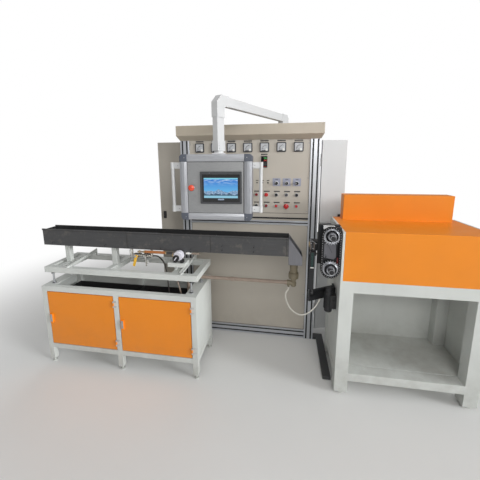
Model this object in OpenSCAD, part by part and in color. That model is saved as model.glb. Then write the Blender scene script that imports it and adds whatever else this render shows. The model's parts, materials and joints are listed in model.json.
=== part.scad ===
// Plastic extrusion line station: slotted-profile control cabinet with a swing-arm operator panel,
// a cooling trough on its service bench, and a chain-driven haul-off at the end of the trough.
// Units are millimetres. X runs along the line, the operator stands at -Y, Z is up from the floor.
// The origin is on the floor under the middle of the cabinet.

/* [Cabinet] */
// outer width over the corner posts
cabinet_width = 1200; // [900:10:1400]
// outer depth over the corner posts
cabinet_depth = 580; // [480:10:640]
// height of the corner posts above the floor
cabinet_height = 1794; // [1600:2:1900]
// side of the square corner posts
post_size = 80; // [70:1:90]
// height of the middle of the dividing rail above the floor
divide_height = 1087; // [950:1:1150]
// height of the dividing rail
divide_rail = 40; // [36:1:60]
// height of the bottom rails
base_rail = 80; // [70:1:100]
// thickness of the rails from front to back
rail_depth = 40; // [36:1:60]
// height of the top rails
top_rail = 28; // [24:1:30]
// width of the slots in posts and rails
slot_width = 8.5; // [6:0.5:10]
// depth of the slots in posts and rails
slot_depth = 9; // [5:0.5:12]
// distance of the sheet panels behind the front of the posts
panel_recess = 6; // [2:0.5:12]
// depth of the folded edge of the sheet panels
panel_fold = 20; // [12:1:30]
// thickness of cabinet sheet
sheet = 2; // [1.5:0.1:3]
// height of the cabinet floor pan above the bottom rails
pan_lip = 25; // [15:1:40]

/* [Canopy] */
// height of the upright edge of the canopy
fascia_height = 83; // [60:1:120]
// height of the sloped underside of the canopy
soffit_height = 39; // [20:1:60]
// how far the canopy stands out in front
front_overhang = 41; // [20:1:60]
// how far the canopy stands out at the sides and at the back
side_overhang = 20; // [10:1:28]
// width of the canopy flange that rests on the posts
canopy_flange = 40; // [30:1:60]

/* [Side doors] */
// width of a side door leaf
door_width = 220; // [180:1:250]
// thickness of a side door and of the fixed side panels
door_thick = 20; // [16:1:24]
// gap between a side door and the posts
door_gap = 5; // [5:0.5:8]
// how far the left door stands open in the photograph
left_door_angle = 90; // [50:0.5:105]
// how far the right door stands open in the photograph
right_door_angle = 72; // [50:0.5:105]
// height of the door lower edge above the floor
door_bottom = 75; // [60:1:100]
// distance of the door upper edge below the post top
door_top_gap = 8; // [4:1:20]
// diameter of the hinge barrels
hinge_barrel = 14; // [10:1:18]
// diameter of the hinge pins
hinge_pin = 7; // [5:0.5:8]
// clearance between a hinge pin and the moving barrel
pin_clearance = 0.4; // [0.2:0.1:0.8]
// height of one hinge barrel segment
barrel_height = 34; // [24:1:44]
// distance of the hinge pins in front of the rear edge of the front posts
hinge_setback = 12; // [8:1:20]
// height of the door lock handle above the floor
lock_height = 1122; // [950:1:1200]
// distance of the door lock handle from the free edge
lock_inset = 42; // [34:1:100]
// height of the door lock handle
lock_size = 68; // [50:1:90]

/* [Instruments] */
// side of a square ammeter face
meter_size = 80; // [60:1:90]
// distance between neighbouring ammeters
meter_pitch = 141; // [110:1:150]
// height of the ammeter middles below the post top
meter_drop = 63; // [50:1:90]
// how far an ammeter face stands out of the panel
meter_proud = 9; // [5:0.5:15]
// diameter of the ammeter body behind the panel
meter_body = 62; // [45:1:70]
// first button column, measured from the cabinet middle
button_start = 75; // [40:1:100]
// distance between button columns
button_pitch = 85.5; // [60:0.5:90]
// height of the upper button row above the dividing rail
button_row_high = 243; // [200:1:300]
// height of the lower button row above the dividing rail
button_row_low = 147; // [100:1:180]
// height of the speed knob row above the dividing rail
knob_row = 352; // [320:1:380]
// distance of the temperature display below the post top
display_drop = 184; // [160:1:220]
// width of the temperature display frame
display_frame = 54; // [44:1:60]
// side of the square knob plates
knob_plate = 66; // [50:1:70]
// diameter of the button collars
button_collar = 29; // [24:1:32]
// diameter of the red mushroom heads
mushroom_size = 40; // [30:1:44]

/* [Swing arm] */
// place of the arm pivot to the right of the cabinet middle
arm_pivot_x = 294; // [100:1:400]
// length of the arm from the roof pivot to the drop tube
arm_length = 962; // [900:1:1000]
// direction of the arm in plan in the photograph
arm_angle = -115; // [-120:0.5:-100]
// height of the arm beam section
beam_height = 60; // [50:1:70]
// width of the arm beam and drop tube section
beam_width = 40; // [30:1:44]
// length of the drop tube section along the arm
tube_long = 70; // [60:1:80]
// height of the arm underside above the canopy
beam_rise = 51; // [45:1:70]
// wall thickness added by the cast couplings
coupling_wall = 4; // [3:0.5:6]
// wall of the arm beam and drop tube
tube_wall = 3; // [2:0.5:5]
// diameter of the swivel pins
swivel_pin = 34; // [24:1:36]
// free height between the two halves of a swivel
swivel_gap = 2; // [1:0.5:4]

/* [Operator panel] */
// outer width of the operator panel box
box_width = 466; // [420:1:500]
// outer height of the operator panel box
box_height = 424; // [380:1:440]
// depth of the operator panel box
box_depth = 130; // [110:1:150]
// distance of the operator panel top below the post tops
panel_drop = 133; // [110:1:160]
// how far the operator panel middle stands to the left of the drop tube
panel_offset = 10; // [0:1:30]
// turn of the operator panel against the cabinet front
box_angle = 3.35; // [-10:0.05:10]
// width of the ribbed side profiles
side_profile = 50; // [40:1:60]
// height of the ribbed top and bottom profiles
top_profile = 47; // [40:1:56]
// width of the touch screen frame
screen_frame_w = 268; // [220:1:280]
// height of the touch screen frame
screen_frame_h = 206; // [160:1:220]
// width of the visible display
display_w = 223; // [180:1:230]
// height of the visible display
display_h = 126; // [100:1:150]
// how far the touch screen stands to the right of the panel middle
screen_shift = 34; // [20:1:40]
// how far the stop button stands to the left of the panel middle
stop_shift = 155; // [130:1:160]
// width of a panel handle bar
grip_width = 22; // [14:1:26]
// clear gap between a handle bar and the box
grip_gap = 43; // [30:1:50]
// height of the mounts of a panel handle
grip_mount = 42; // [30:1:50]
// overall height of a panel handle
grip_height = 323; // [220:1:340]

/* [Bench] */
// right end of the bench, measured from the cabinet middle
bench_right = -287; // [-400:1:-250]
// front of the bench behind the operator side, measured from the cabinet middle
bench_front = -921; // [-960:1:-900]
// depth of the bench frame
bench_depth = 405; // [380:1:440]
// height of the bench frame
bench_height = 662; // [600:1:700]
// number of door bays
bench_bays = 2; // [1:1:4]
// clear width of one door bay
bay_width = 570; // [450:1:600]
// width of the plates on the two ends of the bench top
end_plate = 92; // [70:1:96]
// side of the square bench tube
bench_tube = 40; // [30:1:45]
// height of the lower bench rails above the floor
bench_lower = 130; // [100:1:200]
// height of a levelling foot
foot_height = 30; // [20:1:40]
// gap around a bench door
bench_gap = 5; // [5:0.5:8]
// depth of a bench door
bench_door_thick = 20; // [15:1:25]
// diameter of the bench hinge barrels
bench_barrel = 11; // [9:0.5:13]
// distance of the tank divider from the right end of the bench
tank_divide = 580; // [500:1:620]
// height of the water tank
tank_height = 380; // [250:1:400]
// clearance between the water tank and the bench tube
tank_gap = 12; // [8:1:30]

/* [Lift frame] */
// height of the lift frame underside above the bench
lift_rise = 95; // [90:1:120]
// side of the square lift frame tube
lift_tube = 45; // [38:1:48]
// how far the lift frame stands behind the bench front
lift_setback = 46; // [44:1:60]
// how far the lift frame stands in front of the bench back, as a negative size behind it
lift_rear = -6; // [-12:1:0]
// diameter of the levelling studs
stud_size = 13; // [10:1:16]
// height of the angle cross bars
cross_height = 48; // [40:1:52]

/* [Trough] */
// distance of the middle trough stand from the right end of the bench
stand_middle = 730; // [600:1:760]
// height of the trough bottom above the bench
trough_rise = 293; // [285:1:310]
// right end of the trough, measured from the cabinet middle
trough_right = 356; // [330:1:380]
// length of the trough
trough_length = 1960; // [1900:1:2100]
// width of the trough
trough_width = 130; // [110:1:150]
// depth of the trough
trough_depth = 135; // [110:1:140]
// thickness of the trough sheet
trough_sheet = 2; // [1.5:0.1:3]
// width of the folded trough rim
trough_rim = 12; // [8:1:16]
// height of the product line above the trough bottom
line_rise = 78; // [60:1:90]
// diameter of the product hole in the trough ends
product_hole = 34; // [20:1:40]
// length of the drain box
drain_length = 95; // [80:1:110]
// depth of the drain box below the trough bottom
drain_drop = 85; // [60:1:100]
// diameter of the return pipe
return_pipe_size = 27; // [20:1:32]
// height of the return pipe above the bench
return_rise = 73; // [60:1:75]
// diameter of the white drain hose
hose_size = 10; // [8:0.5:12]

/* [Pump and valves] */
// diameter of the pump motor
pump_size = 72; // [60:1:80]
// length of the pump motor
pump_length = 42; // [30:1:46]
// diameter of the pump head in front of the motor
pump_head = 46; // [36:1:54]
// diameter of the supply pipe from the pump to the valves
supply_size = 13; // [10:1:18]
// length of the yellow valve lever
lever_length = 84; // [70:1:100]
// how far the valve lever is turned from upright in the photograph
lever_tilt = 17; // [0:1:30]
// width of the yellow valve lever
lever_width = 20; // [14:1:24]

/* [Haul-off] */
// left side of the haul-off, measured from the cabinet middle
haul_left = 690; // [680:1:740]
// length of the haul-off along the line
haul_length = 900; // [800:1:1100]
// front of the haul-off, measured from the cabinet middle
haul_front = -890; // [-920:1:-870]
// depth of the haul-off
haul_depth = 505; // [480:1:530]
// height of the haul-off body
haul_height = 1172; // [1120:1:1190]
// width of the haul-off legs
haul_leg = 88; // [60:1:95]
// height of the leg frame below the orange cover
haul_table = 842; // [800:1:860]
// side of the slim upper posts at the ends of the haul-off
upper_post = 16; // [12:1:24]
// height of the rear hood above the body
hood_height = 190; // [120:1:220]
// depth of the rear hood
hood_depth = 105; // [80:1:120]
// width of the cable cover on the floor
cover_width = 60; // [40:1:80]
// height of the cable cover on the floor
cover_height = 26; // [22:1:30]
// how far the hood stands in from the body ends
hood_inset = 72; // [40:1:100]

/* [Chain drive] */
// number of teeth on each sprocket
sprocket_teeth = 22; // [18:2:24]
// pitch of the roller chain
chain_pitch = 15.875; // [14:0.125:16]
// pitches in each straight run of the chain
straight_pitches = 14; // [12:1:15]
// distance of the upper sprocket middle below the haul-off top
sprocket_drop = 33; // [30:1:60]
// distance of the sprocket middles from the haul-off side
sprocket_out = 66; // [64:1:80]
// diameter of the chain rollers
roller_size = 10.2; // [8:0.1:10.4]
// height of a chain link plate
link_height = 15.4; // [12:0.1:15.6]
// thickness of a chain link plate
link_plate = 1.8; // [1.2:0.1:2.2]
// clear width between the inner link plates
chain_inner = 9.6; // [8:0.1:12]
// how far a sprocket tooth tip stands above the pitch circle
tooth_rise = 4.2; // [2:0.1:5]
// diameter of the bored drive shafts
shaft_size = 35; // [28:1:38]
// how far the drive shafts stand out in front of the chain
shaft_reach = 55; // [30:1:60]
// depth of the drive housing behind the chain
drive_depth = 88; // [70:1:89]
// how far the drive housing reaches to the left of the sprocket middles
housing_left = 75; // [70:1:95]
// thickness of the grey bracket plate between the sprockets
bracket_thick = 14; // [8:1:16]

/* [Hidden] */
$fn = 96;
// cabinet
hw = cabinet_width / 2;
hd = cabinet_depth / 2;
inner_half = hw - post_size;
panel_front = -hd + panel_recess;
divide_low = divide_height - divide_rail / 2;
divide_high = divide_height + divide_rail / 2;
top_rail_low = cabinet_height - top_rail;
front_rail_y = -hd + panel_recess + panel_fold + rail_depth / 2;
canopy_base = cabinet_height;
canopy_edge = canopy_base + soffit_height;
canopy_top = canopy_edge + fascia_height;
// side doors
door_x = hw + door_gap;
hinge_x = hw + hinge_barrel / 2 + 1;
hinge_y = -hd + post_size - hinge_setback;
door_front = hinge_y + hinge_barrel / 2 + 1;
door_rear = door_front + door_width;
door_top = cabinet_height - door_top_gap;
door_height = door_top - door_bottom;
door_hinge_levels = [door_bottom + 180, door_bottom + door_height / 2, door_top - 180];
// swing arm
beam_low = canopy_top + beam_rise;
beam_top = beam_low + beam_height;
beam_mid = beam_low + beam_height / 2;
elbow_low = beam_low - 75;
elbow_top = beam_top + coupling_wall;
tube_x = arm_pivot_x + arm_length * cos(arm_angle);
tube_y = arm_length * sin(arm_angle);
box_top = cabinet_height - panel_drop;
coupling_low = box_top + 22;
coupling_high = coupling_low + 64;
// operator panel
box_low = box_top - box_height;
box_mid = (box_top + box_low) / 2;
box_front = -87;
box_back = box_front + box_depth;
// bench
bench_length = bench_bays * bay_width + (bench_bays + 1) * bench_tube;
bench_left = bench_right - bench_length;
bench_rear = bench_front + bench_depth;
bench_top = bench_height;
lower_top = bench_lower + bench_tube;
bench_door_w = bay_width - 2 * bench_gap;
bench_door_low = lower_top + bench_gap;
bench_door_high = bench_top - bench_tube - bench_gap;
bench_door_h = bench_door_high - bench_door_low;
bench_hinge_y = bench_front - bench_barrel / 2;
shelf_top = lower_top + sheet;
// lift frame
lift_low = bench_top + lift_rise;
lift_top = lift_low + lift_tube;
lift_front = bench_front + lift_setback;
lift_back = bench_rear - lift_rear;
cross_top = lift_top + cross_height;
// trough
trough_y = bench_front + bench_depth / 2 - 6.5;
trough_low = bench_top + trough_rise;
trough_top = trough_low + trough_depth;
trough_left = trough_right - trough_length;
trough_front = trough_y - trough_width / 2;
trough_back = trough_y + trough_width / 2;
line_z = trough_low + line_rise;
drain_low = trough_low - drain_drop;
drain_x = trough_right + 40;
drain_right = trough_right + drain_length;
stand_x = [bench_right - 190, bench_right - stand_middle, bench_left + 110];
return_z = bench_top + return_rise;
spigot_size = 14;
guide_low = haul_table - 206;
guide_top = guide_low + 80;
motor_z = haul_table - 187;
guide_x = 541;
// haul-off
haul_right = haul_left + haul_length;
haul_rear = haul_front + haul_depth;
haul_rail = 80;
haul_lower = 110;
// chain drive
tooth_step = 360 / sprocket_teeth;
pitch_radius = chain_pitch / (2 * sin(tooth_step / 2));
sprocket_high = haul_height - sprocket_drop;
sprocket_low = sprocket_high - straight_pitches * chain_pitch;
sprocket_x = haul_left - sprocket_out;
chain_front = haul_front;
chain_middle = chain_front + 2 * link_plate + chain_inner / 2;
chain_rear = 2 * chain_middle - chain_front;
drive_front = chain_rear + 22;
drive_rear = drive_front + drive_depth;

// general shapes
module box(x0, x1, y0, y1, z0, z1) {
  translate([x0, y0, z0])
    cube([x1 - x0, y1 - y0, z1 - z0]);
}

module rod_z(d, z0, z1) {
  translate([0, 0, z0])
    cylinder(d = d, h = z1 - z0);
}

module rod_y(d, y0, y1) {
  translate([0, y0, 0])
    rotate([-90, 0, 0])
      cylinder(d = d, h = y1 - y0);
}

module rod_x(d, x0, x1) {
  translate([x0, 0, 0])
    rotate([0, 90, 0])
      cylinder(d = d, h = x1 - x0);
}

// a round tube swept through a list of points, in flat faces
module swept(points, d) {
  n = len(points);
  m = 10;
  function unit(v) = v / norm(v);
  function along(i) = i == 0 ? unit(points[1] - points[0])
    : i == n - 1 ? unit(points[n - 1] - points[n - 2])
    : unit(unit(points[i + 1] - points[i]) + unit(points[i] - points[i - 1]));
  side = [0, 1, 0];
  rings = [for (i = [0 : n - 1]) let (t = along(i), a = unit(side - t * (side * t)), b = cross(t, a))
    for (k = [0 : m - 1]) points[i] + d / 2 * (a * cos(360 * k / m) + b * sin(360 * k / m))];
  walls = [for (i = [0 : n - 2]) for (k = [0 : m - 1])
    [i * m + k, i * m + (k + 1) % m, (i + 1) * m + (k + 1) % m, (i + 1) * m + k]];
  low = [for (k = [0 : m - 1]) m - 1 - k];
  high = [for (k = [0 : m - 1]) (n - 1) * m + k];
  polyhedron(points = rings, faces = concat(walls, [low], [high]));
}

// slotted profile section, w by h, with slots at the given places
module slot_cut(depth) {
  translate([-slot_width / 2, -depth])
    square([slot_width, depth + 1]);
  translate([-slot_width, -depth])
    square([slot_width * 2, depth * 0.4]);
}

module profile(w, h, across, upright) {
  difference() {
    square([w, h], center = true);
    for (x = across)
      for (s = [0, 180])
        rotate(s)
          translate([x, h / 2])
            slot_cut(slot_depth);
    for (y = upright)
      for (s = [0, 180])
        rotate(s)
          translate([w / 2, y])
            rotate(-90)
              slot_cut(slot_depth);
    circle(d = min(w, h) * 0.16, $fn = 24);
  }
}

module post_section() {
  q = post_size / 4;
  profile(post_size, post_size, [-q, q], [-q, q]);
}

// square tube ring used for frames
module ring(x0, x1, y0, y1, z0, z1, t) {
  difference() {
    box(x0, x1, y0, y1, z0, z1);
    box(x0 + t, x1 - t, y0 + t, y1 - t, z0 - 1, z1 + 1);
  }
}

// sheet tray standing on edge, open at the back
module tray(x0, x1, z0, z1) {
  difference() {
    box(x0, x1, panel_front, panel_front + panel_fold, z0, z1);
    box(x0 + sheet, x1 - sheet, panel_front + sheet, panel_front + panel_fold + 1,
      z0 + sheet, z1 - sheet);
  }
}

// cabinet
module cabinet_posts() {
  color([0.75, 0.76, 0.78])
    for (sx = [-1, 1])
      for (sy = [-1, 1])
        translate([sx * (hw - post_size / 2), sy * (hd - post_size / 2), 0])
          linear_extrude(height = cabinet_height)
            post_section();
}

module rail_x(y, z, h, slots) {
  translate([-inner_half, y, z])
    rotate([90, 0, 90])
      linear_extrude(height = 2 * inner_half)
        profile(rail_depth, h, [], slots);
}

module rail_y(x, z, h, slots) {
  translate([x, hd - post_size, z])
    rotate([90, 0, 0])
      linear_extrude(height = cabinet_depth - 2 * post_size)
        profile(rail_depth, h, [], slots);
}

module cabinet_rails() {
  edge = hd - rail_depth / 2;
  q = base_rail / 4;
  color([0.75, 0.76, 0.78]) {
    rail_x(-edge, divide_height, divide_rail, [0]);
    rail_x(front_rail_y, cabinet_height - top_rail / 2, top_rail, []);
    rail_x(edge, cabinet_height - top_rail / 2, top_rail, []);
    for (s = [-1, 1]) {
      rail_x(s * edge, base_rail / 2 + 5, base_rail, [-q, q]);
      rail_y(s * (hw - rail_depth / 2), base_rail / 2 + 5, base_rail, [-q, q]);
      rail_y(s * (hw - rail_depth / 2), cabinet_height - top_rail / 2, top_rail, []);
    }
  }
}

module canopy_shell(inset) {
  z0 = canopy_base - 1;
  module slope(half_low, far_low, far_high, near_low, near_high) {
    polygon([[-near_low, z0 + inset], [-near_low, canopy_base + inset], [-near_high, canopy_edge + inset],
      [-near_high, canopy_top - inset], [far_high, canopy_top - inset], [far_high, canopy_edge + inset],
      [far_low, canopy_base + inset], [far_low, z0 + inset]]);
  }
  intersection() {
    translate([-hw - 100, 0, 0])
      rotate([90, 0, 90])
        linear_extrude(height = cabinet_width + 200)
          slope(0, hd - inset, hd + side_overhang - inset, hd - inset, hd + front_overhang - inset);
    translate([0, hd + 100, 0])
      rotate([90, 0, 0])
        linear_extrude(height = cabinet_depth + 200)
          slope(0, hw - inset, hw + side_overhang - inset, hw - inset, hw + side_overhang - inset);
    box(-hw - 200, hw + 200, -hd - 200, hd + 200, canopy_base + (inset > 0 ? 0 : 0), canopy_top + 1);
  }
}

module canopy() {
  color([0.74, 0.69, 0.60])
    difference() {
      canopy_shell(0);
      difference() {
        canopy_shell(sheet);
        box(-hw - 100, hw + 100, -hd - 100, hd + 100, 0, canopy_base + sheet);
      }
      box(-hw + canopy_flange, hw - canopy_flange, -hd + canopy_flange, hd - canopy_flange,
        canopy_base - 1, canopy_base + sheet + 1);
    }
}

meter_x = [for (i = [0 : 6]) -3 * meter_pitch + i * meter_pitch];
meter_z = cabinet_height - meter_drop;
button_x = [for (i = [0 : 4]) button_start + i * button_pitch];
row_high_z = divide_height + button_row_high;
row_low_z = divide_height + button_row_low;
knob_z = divide_height + knob_row;
display_x = button_start + 0.8 * button_pitch;
display_z = cabinet_height - display_drop;

module front_panels() {
  color([0.73, 0.69, 0.61])
    difference() {
      union() {
        tray(-inner_half, inner_half, divide_high, cabinet_height);
        tray(-inner_half, inner_half, base_rail + 5, divide_low);
      }
      for (x = meter_x)
        translate([x, 0, meter_z])
          rod_y(meter_body + 1, panel_front - 1, panel_front + sheet + 1);
      for (x = button_x)
        for (z = [row_high_z, row_low_z])
          translate([x, 0, z])
            rod_y(22.5, panel_front - 1, panel_front + sheet + 1);
      for (i = [2 : 4])
        translate([button_x[i], 0, knob_z])
          rod_y(10.5, panel_front - 1, panel_front + sheet + 1);
      box(display_x - 22.5, display_x + 22.5, panel_front - 1, panel_front + sheet + 1,
        display_z - 46, display_z + 46);
    }
}

module rear_panel() {
  color([0.73, 0.69, 0.61])
    difference() {
      box(-inner_half, inner_half, hd - panel_recess - panel_fold, hd - panel_recess,
        base_rail + 5, top_rail_low);
      box(-inner_half + sheet, inner_half - sheet, hd - panel_recess - panel_fold - 1,
        hd - panel_recess - sheet, base_rail + 5 + sheet, top_rail_low - sheet);
    }
}

module floor_pan() {
  y = hd - rail_depth;
  x = hw - rail_depth;
  color([0.55, 0.56, 0.57])
    difference() {
      union() {
        box(-inner_half, inner_half, -y, y, 0, 3);
        box(-inner_half, inner_half, -y, y, 3, base_rail + 5);
      }
      box(-inner_half + 3, inner_half - 3, -y + 3, y - 3, 3, base_rail + 6);
    }
}

module mounting_plate() {
  z0 = base_rail + 5;
  color([0.80, 0.78, 0.70]) {
    box(-inner_half + 60, inner_half - 60, 150, 153, z0 + 60, cabinet_height - rail_depth - 120);
    for (x = [-inner_half + 120, inner_half - 120])
      difference() {
        box(x - 20, x + 20, 153, hd - panel_recess - sheet, z0 + 100, cabinet_height - 240);
        box(x - 17, x + 21, 156, hd - panel_recess - sheet - 3, z0 + 99, cabinet_height - 239);
      }
  }
}

module ammeters() {
  color([0.20, 0.19, 0.18])
    for (x = meter_x)
      translate([x, 0, meter_z]) {
        difference() {
          box(-meter_size / 2, meter_size / 2, panel_front - meter_proud, panel_front,
            -meter_size / 2, meter_size / 2);
          box(-meter_size / 2 + 5, meter_size / 2 - 5, panel_front - meter_proud - 1,
            panel_front - meter_proud + 2, -meter_size / 2 + 5, meter_size / 2 - 5);
        }
        rod_y(meter_body, panel_front, panel_front + 45);
      }
}

module temperature_display() {
  color([0.06, 0.06, 0.06]) {
    difference() {
      box(display_x - display_frame / 2 - 3, display_x + display_frame / 2 - 3, panel_front - 10, panel_front,
        display_z - 48, display_z + 48);
      box(display_x - display_frame / 2 + 3, display_x + display_frame / 2 - 9, panel_front - 11,
        panel_front - 8, display_z - 2, display_z + 42);
    }
    box(display_x - 22, display_x + 22, panel_front, panel_front + 70, display_z - 45, display_z + 45);
  }
}

module speed_knobs() {
  color([0.45, 0.50, 0.58])
    for (i = [2 : 4])
      translate([button_x[i], 0, knob_z]) {
        box(-knob_plate / 2, knob_plate / 2, panel_front - 2, panel_front, -knob_plate / 2, knob_plate / 2);
        rod_y(10, panel_front, panel_front + 25);
        rod_y(30, panel_front - 6, panel_front - 2);
        rod_y(23, panel_front - 20, panel_front - 6);
      }
}

module push_button(x, z, head, reach) {
  translate([x, 0, z]) {
    rod_y(22, panel_front, panel_front + 40);
    rod_y(button_collar, panel_front - 5, panel_front);
    rod_y(head, panel_front - reach, panel_front - 5);
  }
}

module push_buttons() {
  color([0.70, 0.10, 0.08]) {
    for (i = [0 : 4])
      push_button(button_x[i], row_high_z, 21, 12);
    for (i = [0, 1, 2, 4])
      push_button(button_x[i], row_low_z, 21, 12);
    push_button(button_x[3], row_low_z, 20, 16);
    for (i = [0 : 2])
      translate([button_x[0] + 5 + i * 0.55 * button_pitch, 0, knob_z - 6])
        rod_y(12, panel_front - 4, panel_front);
    translate([button_x[3], 0, row_low_z])
      rotate([90, 0, 0])
        translate([0, 0, -panel_front + 16])
          cylinder(d1 = mushroom_size, d2 = mushroom_size - 12, h = 12);
  }
}

// fixed panels that close the rear half of each side
module side_panel() {
  difference() {
    box(hw, door_x + door_thick, door_rear + door_gap, hd, door_bottom, door_top);
    box(hw - 1, door_x + door_thick - sheet, door_rear + door_gap + sheet, hd - sheet, door_bottom + sheet,
      door_top - sheet);
  }
}

module side_panels() {
  color([0.73, 0.69, 0.61]) {
    side_panel();
    mirror([1, 0, 0])
      side_panel();
  }
}

// side doors, drawn closed and then turned about the hinge on the front post
module door_leaf() {
  difference() {
    box(door_x, door_x + door_thick, door_front, door_rear, door_bottom, door_top);
    box(door_x - 1, door_x + door_thick - sheet, door_front + sheet, door_rear - sheet,
      door_bottom + sheet, door_top - sheet);
  }
}

module door_swing(angle) {
  translate([hinge_x, hinge_y, 0])
    rotate(-angle)
      translate([-hinge_x, -hinge_y, 0])
        children();
}

module door_knuckles() {
  for (z = door_hinge_levels)
    difference() {
      union() {
        translate([hinge_x, hinge_y, 0])
          rod_z(hinge_barrel, z, z + barrel_height);
        box(hinge_x - 2, hinge_x + 2, hinge_y, door_front + 1, z, z + barrel_height);
      }
      translate([hinge_x, hinge_y, 0])
        rod_z(hinge_pin + 2 * pin_clearance, z - 1, z + barrel_height + 1);
    }
}

module door_assembly() {
  union() {
    door_leaf();
    door_knuckles();
  }
}

module fixed_hinges() {
  for (z = door_hinge_levels) {
    for (s = [0, 1])
      translate([hinge_x, hinge_y, 0])
        rod_z(hinge_barrel, z - barrel_height - 1 + s * (2 * barrel_height + 2),
          z - 1 + s * (2 * barrel_height + 2));
    translate([hinge_x, hinge_y, 0])
      rod_z(hinge_pin, z - barrel_height, z + 2 * barrel_height);
    for (s = [0, 1])
      box(hw, hw + 3, hinge_y - 44, hinge_y, z - barrel_height - 1 + s * (2 * barrel_height + 2),
        z - 1 + s * (2 * barrel_height + 2));
    box(hw, hw + 3, hinge_y - 44, hinge_y - 14, z - barrel_height - 1, z + 2 * barrel_height + 1);
  }
}

module door_hinges() {
  color([0.15, 0.15, 0.16]) {
    fixed_hinges();
    mirror([1, 0, 0])
      fixed_hinges();
  }
}

module lock_body() {
  y = door_rear - lock_inset;
  h = lock_size / 2;
  box(door_x + door_thick, door_x + door_thick + 8, y - 13, y + 13, lock_height - h, lock_height + h);
  box(door_x + door_thick + 8, door_x + door_thick + 20, y - 9, y + 9, lock_height - h + 6,
    lock_height + h - 18);
}

module right_side_door() {
  color([0.90, 0.90, 0.88])
    door_swing(right_door_angle)
      door_assembly();
}

module right_door_lock() {
  color([0.08, 0.08, 0.08])
    door_swing(right_door_angle)
      lock_body();
}

module left_side_door() {
  color([0.80, 0.77, 0.70])
    mirror([1, 0, 0])
      door_swing(left_door_angle)
        door_assembly();
}

module left_door_lock() {
  color([0.08, 0.08, 0.08])
    mirror([1, 0, 0])
      door_swing(left_door_angle)
        lock_body();
}

// swing arm, drawn along the arm from the roof pivot
module on_arm() {
  translate([arm_pivot_x, 0, 0])
    rotate(arm_angle)
      children();
}

head_low = canopy_top + 32;
module arm_base() {
  color([0.85, 0.85, 0.84])
    on_arm() {
      difference() {
        union() {
          rod_z(120, canopy_top, canopy_top + 10);
          rod_z(76, canopy_top + 10, head_low - swivel_gap);
          rod_z(swivel_pin, head_low - swivel_gap, beam_low + 20);
        }
        for (a = [45 : 90 : 315])
          rotate(a)
            translate([49, 0, 0])
              rod_z(7, canopy_top + 4, canopy_top + 11);
      }
    }
}

module arm_beam() {
  h = beam_width / 2;
  color([0.92, 0.92, 0.92])
    on_arm() {
      difference() {
        box(50, arm_length - 28, -h, h, beam_low, beam_top);
        box(52, arm_length - 30, -h + tube_wall, h - tube_wall, beam_low + tube_wall,
          beam_top - tube_wall);
      }
      difference() {
        translate([0, h + coupling_wall, 0])
          rotate([90, 0, 0])
            linear_extrude(height = beam_width + 2 * coupling_wall)
              polygon([[-50, head_low], [66, head_low], [66, beam_top + coupling_wall],
                [-26, beam_top + coupling_wall], [-50, beam_top - 22]]);
        box(50, 67, -h, h, beam_low, beam_top);
        rod_z(swivel_pin + 1, head_low - 1, beam_low + 22);
      }
    }
}

module arm_elbow() {
  h = beam_width / 2;
  o = arm_length + tube_long / 2 + coupling_wall;
  i = arm_length - tube_long / 2 - coupling_wall;
  f = o - 124;
  color([0.92, 0.92, 0.92])
    on_arm()
      difference() {
        translate([0, h + coupling_wall, 0])
          rotate([90, 0, 0])
            linear_extrude(height = beam_width + 2 * coupling_wall)
              polygon([[f, beam_low - coupling_wall], [i - 12, beam_low - coupling_wall],
                [i, beam_low - coupling_wall - 12], [i, elbow_low], [o, elbow_low],
                [o, elbow_top - 46], [o - 46, elbow_top], [f, elbow_top]]);
        box(f - 1, arm_length - 28, -h, h, beam_low, beam_top);
        box(arm_length - tube_long / 2, arm_length + tube_long / 2, -h, h, elbow_low - 1, beam_low - 20);
      }
}

module drop_tube() {
  h = beam_width / 2;
  color([0.92, 0.92, 0.92])
    on_arm()
      difference() {
        box(arm_length - tube_long / 2, arm_length + tube_long / 2, -h, h, coupling_high - 30,
          beam_low - 20);
        box(arm_length - tube_long / 2 + tube_wall, arm_length + tube_long / 2 - tube_wall,
          -h + tube_wall, h - tube_wall, coupling_high - 31, beam_low - 19);
      }
}

module swivel_coupling() {
  h = beam_width / 2 + coupling_wall;
  color([0.88, 0.88, 0.89])
    on_arm()
      difference() {
        box(arm_length - tube_long / 2 - coupling_wall, arm_length + tube_long / 2 + coupling_wall, -h, h,
          coupling_low, coupling_high);
        box(arm_length - tube_long / 2, arm_length + tube_long / 2, -h + coupling_wall,
          h - coupling_wall, coupling_high - 30, coupling_high + 1);
        translate([arm_length, 0, 0])
          rod_z(swivel_pin + 1, coupling_low - 1, coupling_low + 30);
        for (s = [-1, 1])
          for (x = [-24, 24])
            for (z = [12, 30, 48])
              translate([arm_length + x, 0, coupling_low + z])
                rod_y(6, s * (h - 3) - 3, s * (h - 3) + 3);
      }
}

// operator panel, drawn about the drop tube with its face towards -Y
module on_panel() {
  translate([tube_x, tube_y, 0])
    rotate(box_angle)
      children();
}

// the panel box, drawn about its own middle
module on_box() {
  on_panel()
    translate([-panel_offset, 0, 0])
      children();
}

module panel_flange() {
  color([0.88, 0.88, 0.89])
    on_panel() {
      box(-38, 38, -38, 38, box_top, box_top + 8);
      rod_z(62, box_top + 8, coupling_low - swivel_gap);
      rod_z(swivel_pin, coupling_low - swivel_gap, coupling_low + 28);
    }
}

module rib_section(w, d) {
  n = 4;
  g = w / (2 * n + 1);
  difference() {
    square([w, d]);
    for (i = [0 : n - 1])
      translate([g + i * 2 * g, -1])
        square([g, 3]);
    translate([sheet + 3, sheet + 6])
      square([w - 2 * sheet - 6, d - 2 * sheet - 12]);
  }
}

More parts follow.
